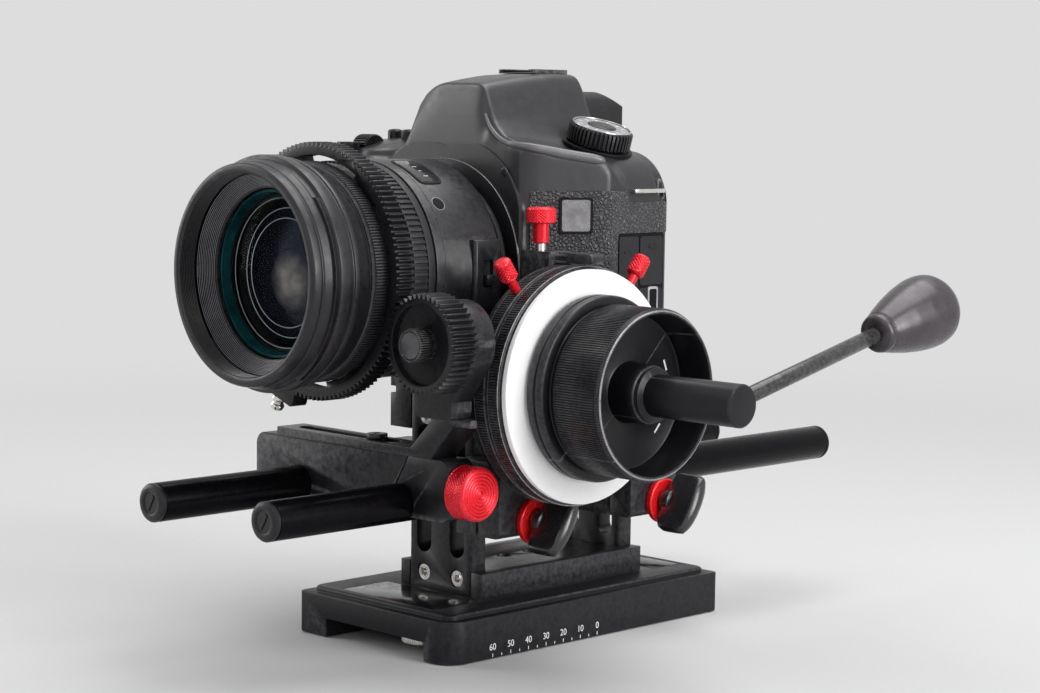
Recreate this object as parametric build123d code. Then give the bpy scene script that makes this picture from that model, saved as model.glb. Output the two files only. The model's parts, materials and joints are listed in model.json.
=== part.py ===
from build123d import *
import os
from math import acos, atan2, cos, degrees, pi, radians, sin, sqrt, tan

# Cinema camera rig: a stills camera with a fast prime lens, on a raised 15 mm rod support,
# with a follow focus geared to the lens and a long quick-release plate underneath.
# Frame: X = 0 is the lens axis, midway between the rods. The lens faces -Y, the follow focus
# is on +X, Z = 0 is the underside of the quick-release plate and Y = 0 its middle.

# ---------------------------------------------------------------- driving dimensions (mm)
running_gap = 0.05          # radial gap of a shaft in its hole
seat_gap = 0.1              # gap round a piece that is nested in a notch
moving_gap = 0.35           # gap between curved faces of different moving bodies

# quick-release plate
plate_length = 160.0
plate_left = -46.0
plate_right = 43.5
plate_height = 19.0
plate_corner = 2.5
plate_near_corner = 10.0       # the front corner on the follow focus side
plate_land_corner = 5.0
plate_step_height = 2.2
plate_step_inset = 3.6
plate_channel_width = 58.0
plate_channel_depth = 7.5
plate_slot_width = 10.0
plate_slot_length = 72.0
plate_slot_y = 4.0             # middle of the slot
pad_half_width = 27.4
pad_margin = 4.0               # pads from the plate's front and rear edges
pad_depth = 0.8
screw_wheel_radius = 11.0
screw_wheel_height = 3.0
camera_thread_radius = 3.175   # 1/4 inch camera thread
spare_screw_x = 17.0
spare_screw_from_front = 10.5
spare_wheel_radius = 8.0

# raised support: base plate and two risers
base_front = -44.0
base_length = 96.0
base_width = 48.2
base_height = 9.7
base_hole_pitch = 15.2
base_hole_count = 4
base_first_hole = 21.5         # behind the base plate's front edge
riser_width = 36.4
riser_thickness = 8.5
riser_top = 108.8
riser_slot_width = 8.6
riser_slot_spacing = 19.4
riser_slot_bottom = 33.5
riser_slot_top = 86.0
riser_screw_height = 6.0       # above the base plate's underside
platform_screw_drop = 19.3     # below the risers' top
cap_screw_radius = 1.95
cap_head_radius = 3.3
cap_head_height = 3.6
counterbore_depth = 4.0

# 15 mm rods at 60 mm centres
rod_radius = 7.5
rod_wall = 1.5
rod_spacing = 60.0
rod_height = 64.3
rod_length = 326.0
right_rod_front = -161.0
left_rod_lead = 6.0
rod_cap_length = 3.0
rod_cap_plug = 8.0
rod_cap_lip = 0.35

# rod clamps and their wing knobs
clamp_half_width = 42.5
clamp_length = 28.0
clamp_above_rod = 12.0
clamp_below_rod = 18.0
clamp_slit = 1.6
clamp_screw_drop = 12.2        # wing screw below the rod axis
clamp_screw_from_edge = 18.5
front_clamp_front = -52.5
wing_stud_radius = 2.5
washer_radius = 9.4
washer_thickness = 3.0
wing_hub_radius = 5.2
wing_hub_length = 5.0
wing_span = 26.0
wing_reach = 18.2
wing_thickness = 7.0
wing_tilt = 31.0

# camera platform on top of the risers
platform_half_width = 31.7
platform_bottom = 83.5
platform_groove = 4.0
camera_bottom = 110.8
camera_screw_y = -1.0
camera_screw_head_radius = 9.0
camera_screw_head_height = 7.0
camera_screw_engagement = 6.0

# lens
lens_above_rods = 87.4
lens_front = -147.4
lens_rim_step = 1.0            # the front rim's radius is that much under the body's
filter_thread_radius = 38.1
lens_hood_ring_step = 2.1      # the hood ring's radius is that much over the body's
lens_body_radius = 42.7
lens_glass_radius = 32.0
lens_focus_ring_start = -118.5
lens_focus_ring_length = 31.0
lens_barrel_end = -45.0
lens_mount_radius = 27.0
baffle_groove_count = 10

# gears, all of one module
gear_module = 0.8
gear_backlash = 0.28
gear_pressure_angle = 20.0
drive_teeth = 45
lay_teeth = 18
pinion_teeth = 32
lens_wall = 5.0                 # between the barrel's outside and the focus mechanism
lens_front_depth = 14.2         # from the rim to the front element's seat
lens_front_thread_depth = 9.0   # where the baffle cone starts
lens_front_joint = 20.0         # where the fixed front meets the barrel inside
lens_cell_radius = 21.0         # of the middle element
lens_cell_start = 41.0          # behind the rim
lens_cell_end = 48.5
lens_rear_radius = 17.0         # of the rear element
lens_chamber_wall = 8.0         # round the rear element's chamber, beyond the cell
lens_seat_clearance = 0.3
lens_gear_front = -112.5
lens_gear_width = 7.5
lens_gear_clearance = 1.9      # round the lens body, taken up by the ring's pads
lens_gear_web = 3.2            # under the teeth
lens_gear_pads = 6
ring_block_width = 15.0
drive_gear_front = -114.5
drive_gear_width = 12.0
drive_gear_angle = 20.14       # drive gear's axis below the lens axis, seen along it
ring_clamp_angle = 111.0       # turn about Y that takes +X to the ring's clamp block

# follow focus
wheel_y = -44.0
lay_shaft_angle = 70.91        # lay shaft below the drive gear, seen along it
drum_radius = 46.0
drum_core_radius = 40.0
drum_from_lay_shaft = 6.63
drum_flange = 2.2
drum_hub_radius = 14.0
stop_ring_width = 6.4
stop_ring_gap = 0.6
disc_radius = 44.9
disc_thickness = 2.5
flange_radius = 35.5
flange_length = 9.0
wheel_neck_radius = 31.0
wheel_neck_length = 2.2
wheel_radius = 32.4
wheel_grip_length = 23.3
wheel_rim_wall = 2.0
wheel_recess = 15.0
boss_radius = 11.3
boss_length = 12.4
boss_collar_radius = 10.3
post_radius = 8.0
post_reach = 40.65             # beyond the wheel's rim
post_lever_inset = 6.0
lever_angle = 13.2
lever_radius = 3.1
lever_reach = 92.0
knob_radius = 14.6
knob_start = 88.5
knob_length = 42.0
wheel_shaft_radius = 4.0
wheel_bush_radius = 6.5
shaft_radius = 3.0
bush_radius = 5.0
bush_seat = 3.0                # lay shaft's bush behind the spur gears' case
thumb_screw_inset = 8.0        # from the drum's inner face
thumb_block_top = 160.5
thumb_screw_depth = 8.0        # of its shank in the block
thumb_shank_radius = 1.9
block_height = 10.5
block_half_width = 6.0
block_overhang = 4.3           # beyond the thumb screw's axis
strut_thickness = 3.0          # between the gear case and the block
drum_floor = 1.2
drum_wall = 4.0
housing_wall = 1.6
mitre_backing = 0.6            # behind the mitre gear, to the wheel shaft's bush
gearbox_front = -101.7
gearbox_rear = -91.2           # rear face of the spur gears' case, ahead of the drum
gear_room = 0.5                # round the gears inside their case
mitre_radius = 7.4
mitre_length = 3.8
mitre_gap = 0.3
bracket_front = -93.5
bracket_depth = 13.0
bracket_half_width = 57.0
bracket_above_rods = 18.5
bracket_below_rods = 5.0
bracket_corner = 5.0
bracket_slit = 0.7
arm_bar_height = 3.4
arm_front = -94.5
arm_left = -43.0
arm_slot_width = 6.2
arm_slot_x = (-33.0, 18.0)
arm_screw_x = 9.0
arm_incline_from_shaft = 6.4   # the incline's top ends that far short of the lay shaft
arm_incline_width = 11.1
bracket_knob_radius = 10.5
bracket_knob_length = 10.0
bracket_knob_height = 6.8      # above the rod axis

# camera body
body_right = 61.5
body_left = -88.5
body_front = -24.0
body_rear = 23.0
body_top = 198.3
body_seam = 183.8
back_thickness = 6.0
grip_width = 36.0
grip_reach = 19.0
mirror_box_half_width = 43.0
mirror_box_front = -43.0
body_corner_radius = 6.0        # upright corners
body_edge_radius = 3.5          # round the top and the back
grip_corner_radius = 9.0
mirror_box_corner_radius = 10.0
mirror_chamber_half_width = 20.0
mirror_chamber_rear = 3.0
mirror_half_width = 17.5
mirror_length = 27.0
mirror_thickness = 1.4
mirror_pin_radius = 1.2
port_pocket_depth = 3.0
port_cover_sink = 0.2           # below the body's side, and the gap round the cover
button_well = 6.0
button_proud = 1.4
prism_top = 229.0
prism_top_half_width = 14.0
prism_shoulder_half_width = 22.0
prism_shoulder_z = 216.0
prism_foot_half_width = 31.0
prism_foot_z = 201.0
shoulder_radius = 20.0          # of the body's right shoulder, seen from the front
grip_shoulder_radius = 14.0
shoe_height = 1.8
shoe_width = 21.2
shoe_wall = 1.4
shoe_lip = 4.2
shoe_plate = 0.5
shoe_y = (-3.5, 15.5)
dial_x = 40.4
dial_y = 3.5
dial_z = 203.4
dial_tilt = 16.4                # outwards
dial_radius = 13.2
dial_rise = 5.6
dial_sink = 2.6
dial_stem_radius = 2.5
dial_stem_length = 9.5
lug_recess_depth = 3.0
lug_recess_y = (-1.0, 20.0)
lug_recess_z = (179.5, 192.0)
lug_reach = 2.4
lug_height = 1.6
lug_z = 182.0
eyecup_half_width = 17.5
eyecup_z = (202.0, 222.0)
eyecup_window_half_width = 9.0
eyecup_window_z = (206.0, 218.0)
eyecup_length = 19.0
screen_x = (-34.0, 26.0)
screen_z = (122.0, 168.0)
screen_depth = 1.6
rear_dial_radius = 17.1
rear_dial_depth = 3.0
set_button_radius = 6.0
mount_ring_radius = 34.5
release_x = -38.0
release_z = 137.0
release_radius = 4.6
port_y = (-14.0, 13.0)
port_z = (119.0, 166.0)
shutter_x = -72.0
shutter_y = -32.0
shutter_radius = 5.0
press_travel = 0.7             # under each button, a little more than its stroke
mirror_hinge_y = -1.5
mirror_hinge_z = 171.0
rear_dial_x = -62.0
rear_dial_z = 140.0

# ---------------------------------------------------------------- values worked out from them
rod_x = rod_spacing / 2
lens_rim_radius = lens_body_radius - lens_rim_step
lens_hood_ring_radius = lens_body_radius + lens_hood_ring_step
drum_flange_radius = drum_radius - 1.0
thumb_hole_radius = thumb_shank_radius + running_gap
addendum = 0.9 * gear_module
dedendum = 1.25 * gear_module
lens_gear_bore = lens_body_radius + lens_gear_clearance
ring_teeth = round(2 * (lens_gear_bore + lens_gear_web + dedendum) / gear_module)
lens_z = rod_height + lens_above_rods
base_rear = base_front + base_length
base_top = plate_height + base_height
rear_clamp_front = base_rear - clamp_length
mesh_distance = gear_module * (ring_teeth + drive_teeth) / 2
drive_gear_x = mesh_distance * cos(radians(drive_gear_angle))
drive_gear_z = lens_z - mesh_distance * sin(radians(drive_gear_angle))
pair_distance = gear_module * (lay_teeth + pinion_teeth) / 2
lay_shaft_x = drive_gear_x - pair_distance * cos(radians(lay_shaft_angle))
wheel_height = drive_gear_z - pair_distance * sin(radians(lay_shaft_angle))
drum_inner_x = lay_shaft_x + drum_from_lay_shaft
thumb_screw_x = drum_inner_x - thumb_screw_inset
ring_tip_radius = gear_module * ring_teeth / 2 + addendum
lay_case_radius = gear_module * lay_teeth / 2 + addendum + gear_room + housing_wall
pinion_case_radius = gear_module * pinion_teeth / 2 + addendum + gear_room + housing_wall
case_bottom = wheel_height - lay_case_radius
mitre_base_x = lay_shaft_x + mitre_radius + mitre_gap
bracket_top = rod_height + bracket_above_rods
bracket_rear = bracket_front + bracket_depth
ring_a_x = drum_inner_x + drum_flange + stop_ring_gap / 2
ring_b_x = ring_a_x + stop_ring_width + stop_ring_gap
drum_outer_x = ring_b_x + stop_ring_width + stop_ring_gap / 2
disc_x = drum_outer_x + moving_gap
flange_x = disc_x + disc_thickness
neck_x = flange_x + flange_length
grip_x = neck_x + wheel_neck_length
rim_x = grip_x + wheel_grip_length
recess_x = rim_x - wheel_recess
post_end_x = rim_x + post_reach
lever_x = post_end_x - post_lever_inset


# ---------------------------------------------------------------- helpers
def span(x, y, z):
    """A box from its two ends along each axis."""
    size = [b - a for a, b in (x, y, z)]
    middle = [(a + b) / 2 for a, b in (x, y, z)]
    return Pos(*middle) * Box(*size)


def bar_x(y, z, x0, x1, radius):
    """A round bar along X."""
    return Pos((x0 + x1) / 2, y, z) * Rot(0, 90, 0) * Cylinder(radius, x1 - x0)


def bar_y(x, z, y0, y1, radius):
    """A round bar along Y."""
    return Pos(x, (y0 + y1) / 2, z) * Rot(90, 0, 0) * Cylinder(radius, y1 - y0)


def bar_z(x, y, z0, z1, radius):
    """A round bar along Z."""
    return Pos(x, y, (z0 + z1) / 2) * Cylinder(radius, z1 - z0)


def turned(points):
    """A turned piece about Z from its half outline, given as (radius, station) corners."""
    return revolve(Plane.XZ * make_face(Polyline(*points, close=True)), Axis.Z)


def about_x(shape, y, z):
    """Lay a piece that is turned about Z along X, its stations being X."""
    return Pos(0, y, z) * Rot(0, 90, 0) * shape


def about_y(shape, x, z):
    """Lay a piece that is turned about Z along Y, its stations being Y."""
    return Pos(x, 0, z) * Rot(-90, 0, 0) * shape


def prism_xz(points, y0, y1):
    """An outline in the XZ plane, given depth from y0 to y1."""
    face = Plane.XZ * make_face(Polyline(*points, close=True))
    return Pos(0, y1, 0) * extrude(face, y1 - y0)


def prism_yz(points, x0, x1):
    """An outline in the YZ plane, given depth from x0 to x1."""
    face = Plane.YZ * make_face(Polyline(*points, close=True))
    return Pos(x0, 0, 0) * extrude(face, x1 - x0)


def upright_edges(shape):
    return shape.edges().filter_by(Axis.Z)


def mirrored_x(shape):
    return mirror(shape, Plane.YZ)


def write(name, *pieces):
    """Write one sub-part, made of one or more separate solids."""
    solids = [solid for piece in pieces for solid in piece.solids()]
    export_step(Compound(label=name, children=solids), f"parts/{name}.step")


def gear_blank(teeth, width, phase=0.0, backlash=gear_backlash):
    """A spur gear about Z from Z = 0, with a tooth centred at the phase angle."""
    pitch_radius = gear_module * teeth / 2
    slope = tan(radians(gear_pressure_angle))
    half = pi * gear_module / 4 - backlash / 2
    tip_radius = pitch_radius + addendum
    root_radius = pitch_radius - dedendum
    tip_half = (half - addendum * slope) / tip_radius
    root_half = (half + dedendum * slope) / root_radius
    outline = []
    for tooth in range(teeth):
        middle = radians(phase) + 2 * pi * tooth / teeth
        for radius, angle in (
            (root_radius, middle - root_half),
            (tip_radius, middle - tip_half),
            (tip_radius, middle + tip_half),
            (root_radius, middle + root_half),
        ):
            outline.append((radius * cos(angle), radius * sin(angle)))
    return extrude(make_face(Polyline(*outline, close=True)), width)


def gear_y(teeth, x, z, y0, width, toward, on_tooth, backlash=gear_backlash):
    """A spur gear along Y at (x, z), with a tooth or a gap facing the point `toward`."""
    facing = degrees(atan2(toward[1] - z, toward[0] - x))
    phase = -facing if on_tooth else -facing + 180 / teeth
    return Pos(x, y0, z) * Rot(-90, 0, 0) * gear_blank(teeth, width, phase, backlash)


# ---------------------------------------------------------------- quick-release plate
def make_tripod_plate():
    half_y = plate_length / 2
    lower_top = plate_height - plate_step_height
    lower = span((plate_left, plate_right), (-half_y, half_y), (0, lower_top))
    near = (plate_right, -half_y, lower_top / 2)
    lower = fillet(upright_edges(lower).sort_by_distance(near)[1:], plate_corner)
    lower = fillet(upright_edges(lower).sort_by_distance(near)[:1], plate_near_corner)
    inset = plate_step_inset
    land_x = (plate_left + inset, plate_right - inset)
    land = span(land_x, (-half_y + inset, half_y - inset), (lower_top, plate_height))
    land = fillet(upright_edges(land), plate_land_corner)
    land = fillet(land.faces().sort_by(Axis.Z)[-1].edges(), plate_step_height * 0.6)
    body = lower + land
    channel = plate_channel_width / 2
    body -= span((-channel, channel), (-half_y - 1, half_y + 1), (-1, plate_channel_depth))
    reach = (plate_slot_length - plate_slot_width) / 2
    ends = (plate_slot_y - reach, plate_slot_y + reach)
    z = (plate_channel_depth - 1, plate_height + 1)
    slot = span((-plate_slot_width / 2, plate_slot_width / 2), ends, z)
    for end in ends:
        slot += bar_z(0, end, z[0], z[1], plate_slot_width / 2)
    body -= slot
    for pad in pad_boxes(0):
        body -= pad
    spare_y = spare_screw_y()
    socket = camera_thread_radius + running_gap
    body -= bar_z(spare_screw_x, spare_y, z[0], plate_height - 3.0, socket)
    write("tripod_plate", body)
    write("plate_pads", *pad_boxes(seat_gap))


def pad_boxes(gap):
    """The two thin pads let into the plate's top, ahead of the base plate and behind it."""
    edge = plate_length / 2 - plate_step_inset - pad_margin
    x = (-pad_half_width + gap, pad_half_width - gap)
    z = (plate_height - pad_depth, plate_height)
    front = span(x, (-edge + gap, base_front - pad_margin - gap), z)
    rear = span(x, (base_rear + pad_margin + gap, edge - gap), z)
    return [front, rear]


def spare_screw_y():
    return -plate_length / 2 + spare_screw_from_front


def make_plate_screws():
    """The camera screw that holds the base plate, and a spare one parked underneath."""
    wheel_top = plate_channel_depth
    wheel_bottom = wheel_top - screw_wheel_height
    y = base_hole_positions()[1]
    wheel = bar_z(0, y, wheel_bottom, wheel_top, screw_wheel_radius)
    shank = bar_z(0, y, wheel_top, base_top - 1.5, camera_thread_radius)
    spare_y = spare_screw_y()
    spare = bar_z(spare_screw_x, spare_y, wheel_bottom, wheel_top, spare_wheel_radius)
    spare += bar_z(spare_screw_x, spare_y, wheel_top, plate_height - 4.0, camera_thread_radius)
    write("plate_screws", wheel + shank, spare)


# ---------------------------------------------------------------- base plate and risers
def base_hole_positions():
    first = base_front + base_first_hole
    return [first + base_hole_pitch * n for n in range(base_hole_count)]


def riser_notch(front, side_gap):
    """The space that a riser fills in the base plate or the platform."""
    half = riser_width / 2 + side_gap
    if front:
        return (-half, half), (base_front - 1, base_front + riser_thickness)
    return (-half, half), (base_rear - riser_thickness, base_rear + 1)


def screw_columns():
    return (-riser_slot_spacing / 2, riser_slot_spacing / 2)


def make_base_plate():
    half = base_width / 2
    plate = span((-half, half), (base_front, base_rear), (plate_height, base_top))
    plate = chamfer(upright_edges(plate), 0.8)
    for front in (True, False):
        x, y = riser_notch(front, seat_gap)
        plate -= span(x, y, (plate_height - 1, base_top + 1))
    for y in base_hole_positions():
        plate -= bar_z(0, y, plate_height - 1, base_top + 1, camera_thread_radius + running_gap)
    z = plate_height + riser_screw_height
    for x in screw_columns():
        for start, depth in ((base_front + riser_thickness, 12), (base_rear - riser_thickness, -12)):
            ends = sorted((start, start + depth))
            plate -= bar_y(x, z, ends[0], ends[1], cap_screw_radius + running_gap)
    write("base_plate", plate)


def make_riser(name, front):
    half = riser_width / 2
    face = base_front if front else base_rear
    inner = face + riser_thickness if front else face - riser_thickness
    y = sorted((face, inner))
    outward = -1 if front else 1
    plate = span((-half, half), y, (plate_height, riser_top))
    plate = chamfer(upright_edges(plate), 0.7)
    for x in screw_columns():
        r = riser_slot_width / 2
        slot = span((x - r, x + r), (y[0] - 1, y[1] + 1), (riser_slot_bottom + r, riser_slot_top - r))
        for z in (riser_slot_bottom + r, riser_slot_top - r):
            slot += bar_y(x, z, y[0] - 1, y[1] + 1, r)
        plate -= slot
        for z in (plate_height + riser_screw_height, platform_screw_height()):
            plate -= bar_y(x, z, y[0] - 1, y[1] + 1, cap_screw_radius + running_gap)
            bore = sorted((face + outward, face - outward * counterbore_depth))
            plate -= bar_y(x, z, bore[0], bore[1], cap_head_radius + 0.35)
    write(name, plate)


def platform_screw_height():
    return riser_top - platform_screw_drop


def cap_screw(x, z, seat_y, inward, reach):
    """A socket cap screw along Y with its head's underside at seat_y."""
    head = sorted((seat_y, seat_y - inward * cap_head_height))
    shank = sorted((seat_y, seat_y + inward * reach))
    screw = bar_y(x, z, head[0], head[1], cap_head_radius)
    screw += bar_y(x, z, shank[0], shank[1], cap_screw_radius)
    top = seat_y - inward * cap_head_height
    hexagon = Pos(x, top, z) * Rot(90, 0, 0) * extrude(RegularPolygon(1.7, 6), 2.0, both=True)
    return screw - hexagon


def make_riser_screws():
    screws = []
    for x in screw_columns():
        for z in (plate_height + riser_screw_height, platform_screw_height()):
            depth = counterbore_depth
            screws.append(cap_screw(x, z, base_front + depth, 1, 12))
            screws.append(cap_screw(x, z, base_rear - depth, -1, 12))
    write("riser_screws", *screws)


# ---------------------------------------------------------------- rods and rod clamps
def rod_ends(side):
    front = right_rod_front - (left_rod_lead if side < 0 else 0)
    return front, front + rod_length


def make_rod(name, side):
    """A rod tube with a pressed-in plastic cap at each end."""
    x = side * rod_x
    front, rear = rod_ends(side)
    tube = bar_y(x, rod_height, front + rod_cap_length, rear - rod_cap_length, rod_radius)
    bore = rod_radius - rod_wall
    tube -= bar_y(x, rod_height, front, rear, bore)
    profile = [
        (0, 0),
        (rod_radius - 1.2, 0),
        (rod_radius, 1.2),
        (rod_radius, 2.0),
        (rod_radius - rod_cap_lip, 2.2),
        (rod_radius - rod_cap_lip, rod_cap_length),
        (bore, rod_cap_length),
        (bore, rod_cap_length + rod_cap_plug),
        (0, rod_cap_length + rod_cap_plug),
    ]
    cap = turned(profile)
    front_cap = Pos(x, front, rod_height) * Rot(-90, 0, 0) * cap
    rear_cap = Pos(x, rear, rod_height) * Rot(90, 0, 0) * cap
    write(name, tube, front_cap, rear_cap)


def make_clamp(front_edge, screw_y, notch_front):
    """A rod clamp: a block split under each rod and notched round its riser."""
    z0 = rod_height - clamp_below_rod
    z1 = rod_height + clamp_above_rod
    y = (front_edge, front_edge + clamp_length)
    block = span((-clamp_half_width, clamp_half_width), y, (z0, z1))
    block = chamfer(block.edges().filter_by(Axis.Y), 2.0)
    x, notch = riser_notch(notch_front, seat_gap)
    if notch_front:
        block -= span(x, (y[0] - 1, notch[1]), (z0 - 1, z1 + 1))
    else:
        block -= span(x, (notch[0], y[1] + 1), (z0 - 1, z1 + 1))
    drop = rod_height - clamp_screw_drop
    for side in (-1, 1):
        block -= bar_y(side * rod_x, rod_height, y[0] - 1, y[1] + 1, rod_radius + running_gap)
        slit = sorted((side * rod_x - clamp_slit / 2, side * rod_x + clamp_slit / 2))
        block -= span(slit, (y[0] - 1, y[1] + 1), (z0 - 1, rod_height))
        hole = sorted((side * (clamp_half_width + 1), side * (riser_width / 2 + 2.5)))
        block -= bar_x(screw_y, drop, hole[0], hole[1], wing_stud_radius + running_gap)
    return block


def clamp_screw_y(which):
    front = front_clamp_front if which == "front" else rear_clamp_front
    return front + clamp_screw_from_edge


def make_clamps():
    front = make_clamp(front_clamp_front, clamp_screw_y("front"), True)
    rear = make_clamp(rear_clamp_front, clamp_screw_y("rear"), False)
    write("rod_clamps", front, rear)
    washers = []
    profile = [
        (wing_stud_radius + running_gap, 0),
        (washer_radius - 0.6, 0),
        (washer_radius, 0.6),
        (washer_radius, washer_thickness - 0.6),
        (washer_radius - 0.6, washer_thickness),
        (wing_stud_radius + running_gap, washer_thickness),
    ]
    for which in ("front", "rear"):
        washer = Pos(clamp_half_width, 0, 0) * about_x(turned(profile), 0, 0)
        washer = Pos(0, clamp_screw_y(which), rod_height - clamp_screw_drop) * washer
        washers += [washer, mirrored_x(washer)]
    write("clamp_washers", *washers)


def make_wing_knob(name, which, side):
    """A wing knob with its steel stud, on the axis of a clamp screw."""
    y = clamp_screw_y(which)
    z = rod_height - clamp_screw_drop
    start = clamp_half_width + washer_thickness + 0.1
    hub = bar_x(0, 0, start, start + wing_hub_length, wing_hub_radius)
    stud = bar_x(0, 0, riser_width / 2 + 3, start + 1, wing_stud_radius)
    half = wing_span / 2
    outline = [
        (-wing_hub_radius, 0),
        (wing_hub_radius, 0),
        (half, wing_reach * 0.45),
        (half - 1.5, wing_reach * 0.85),
        (half * 0.55, wing_reach),
        (-half * 0.55, wing_reach),
        (-half + 1.5, wing_reach * 0.85),
        (-half, wing_reach * 0.45),
    ]
    face = make_face(Polyline(*outline, close=True))
    wing = extrude(face, wing_thickness / 2, both=True)
    wing = fillet(wing.edges().filter_by(Axis.Z), 2.0)
    wing = fillet(wing.faces().sort_by(Axis.Z)[-1].edges(), 2.0)
    wing = fillet(wing.faces().sort_by(Axis.Z)[0].edges(), 2.0)
    wing = Pos(start, 0, 0) * Rot(0, 0, -90) * wing
    wing = Rot(wing_tilt, 0, 0) * wing
    knob = Pos(0, y, z) * (hub + stud + wing)
    write(name, knob if side > 0 else mirrored_x(knob))


# ---------------------------------------------------------------- camera platform
def make_camera_platform():
    half = platform_half_width
    block = span((-half, half), (base_front, base_rear), (platform_bottom, camera_bottom))
    block = chamfer(upright_edges(block), 1.0)
    for front in (True, False):
        x, y = riser_notch(front, seat_gap)
        block -= span(x, y, (platform_bottom - 1, riser_top + seat_gap))
    groove = platform_bottom + (camera_bottom - platform_bottom) / 2
    for side in (-1, 1):
        x = sorted((side * (half - platform_groove), side * (half + 1)))
        block -= span(x, (base_front - 1, base_rear + 1), (groove, groove + 3))
    well_top = camera_bottom - 7
    radius = camera_screw_head_radius + 1
    block -= bar_z(0, camera_screw_y, platform_bottom - 1, well_top, radius)
    block -= bar_z(0, camera_screw_y, well_top - 1, camera_bottom + 1, camera_thread_radius + 0.1)
    z = platform_screw_height()
    for x in screw_columns():
        for start, depth in ((base_front + riser_thickness, 12), (base_rear - riser_thickness, -12)):
            ends = sorted((start, start + depth))
            block -= bar_y(x, z, ends[0], ends[1], cap_screw_radius + running_gap)
    write("camera_platform", block)
    head_top = well_top - 0.1
    head = bar_z(
        0, camera_screw_y, head_top - camera_screw_head_height, head_top, camera_screw_head_radius
    )
    tip = camera_bottom + camera_screw_engagement
    shank = bar_z(0, camera_screw_y, head_top - 1, tip, camera_thread_radius)
    write("camera_screw", head + shank)


# ---------------------------------------------------------------- lens
def make_lens_front_ring():
    """The fixed front barrel: filter rim, hood bayonet and the grooved baffle cone."""
    rim = lens_rim_radius
    hood = lens_hood_ring_radius
    neck_end = lens_focus_ring_start - moving_gap
    thread = filter_thread_radius
    seat = lens_glass_radius + lens_seat_clearance
    profile = [
        (rim - 1.6, lens_front),
        (rim, lens_front + 1.2),
        (rim + 1.2, lens_front + 8.0),
        (hood - 1.6, lens_front + 8.4),
        (hood - 1.6, lens_front + 10.4),
        (hood, lens_front + 10.8),
        (hood, lens_front + 15.4),
        (hood - 0.9, lens_front + 15.8),
        (hood - 0.9, lens_front + 20.4),
        (lens_body_radius - 0.4, lens_front + 21.0),
        (lens_body_radius - 1.6, neck_end),
        (lens_body_radius - lens_wall, neck_end),
        (lens_body_radius - lens_wall, lens_front + lens_front_joint + 4.0),
        (seat, lens_front + lens_front_joint),
        (seat, lens_front + lens_front_depth),
    ]
    cone_start = lens_front + lens_front_thread_depth
    for n in range(baffle_groove_count, -1, -1):
        share = n / baffle_groove_count
        radius = thread + (seat - thread) * share
        station = cone_start + (lens_front + lens_front_depth - cone_start) * share
        if n < baffle_groove_count:
            profile.append((radius, station + 0.35))
            profile.append((radius, station))
    profile.append((thread, lens_front + 0.8))
    profile.append((thread + 0.8, lens_front))
    write("lens_front_ring", about_y(turned(profile), 0, lens_z))


def make_lens_glass():
    """Front, middle and rear elements, each its own solid."""
    pieces = []
    for front, depth, radius, bulge in (
        (lens_front + lens_front_depth + 0.8, 4.5, lens_glass_radius, 4.0),
        (lens_front + lens_cell_start + 1.0, 6.0, lens_cell_radius, 3.0),
        (lens_barrel_end - 4.0, 5.0, lens_rear_radius, 2.0),
    ):
        curve = radius**2 / (2 * bulge) + bulge / 2
        low = front - bulge
        high = front + depth
        slab = turned([(0, low), (radius, low), (radius, high), (0, high)])
        dome = Pos(0, 0, front - bulge + curve) * Sphere(curve)
        pieces.append(about_y(slab & dome, 0, lens_z))
    write("lens_glass", *pieces)


def make_lens_barrel():
    """The fixed rear barrel, the inner tube that carries the rings and the bayonet mount."""
    ring_start = lens_focus_ring_start
    ring_end = lens_focus_ring_start + lens_focus_ring_length + moving_gap
    tube = lens_body_radius - lens_wall
    cell = lens_cell_radius
    rear = lens_rear_radius
    joint = lens_front + lens_front_joint
    profile = [
        (lens_glass_radius + lens_seat_clearance, joint + 0.1),
        (tube, joint + 4.2),
        (tube, ring_end),
        (lens_body_radius, ring_end),
        (lens_body_radius, lens_barrel_end - 9.0),
        (lens_body_radius - 6.0, lens_barrel_end - 2.0),
        (34.0, lens_barrel_end),
        (lens_mount_radius - 1, lens_barrel_end),
        (lens_mount_radius - 1, lens_barrel_end + 5.0),
        (rear, lens_barrel_end + 5.0),
        (rear, lens_barrel_end - 12.0),
        (cell + lens_chamber_wall, lens_barrel_end - 20.0),
        (cell + lens_chamber_wall, lens_front + lens_cell_end + 0.5),
        (cell, lens_front + lens_cell_end),
        (cell, lens_front + lens_cell_start),
        (lens_glass_radius - 2, lens_front + 36.0),
        (lens_glass_radius - 2, joint + 0.1),
    ]
    barrel = about_y(turned(profile), 0, lens_z)
    box = switch_box()
    switch_x = lens_body_radius + 1.0
    pocket = span(
        (switch_x - 1.2, switch_x + 6),
        (switch_y() - 2.6, switch_y() + 2.6),
        (lens_z - 5.0, lens_z + 5.0),
    )
    barrel = barrel + box - pocket
    write("lens_barrel", barrel)
    slider = span(
        (switch_x - 1.2, switch_x + 2.6),
        (switch_y() - 2.2, switch_y() + 2.2),
        (lens_z - 4.7, lens_z - 0.5),
    )
    write("focus_switch", slider)


def switch_y():
    return lens_barrel_end - 17.0


def switch_box():
    """The raised flat on the barrel's side that holds the focus mode switch."""
    y = (switch_y() - 7.0, switch_y() + 7.0)
    box = span((lens_body_radius - 5, lens_body_radius + 1.8), y, (lens_z - 14, lens_z + 13))
    return fillet(box.faces().sort_by(Axis.X)[-1].edges(), 1.4)


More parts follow.
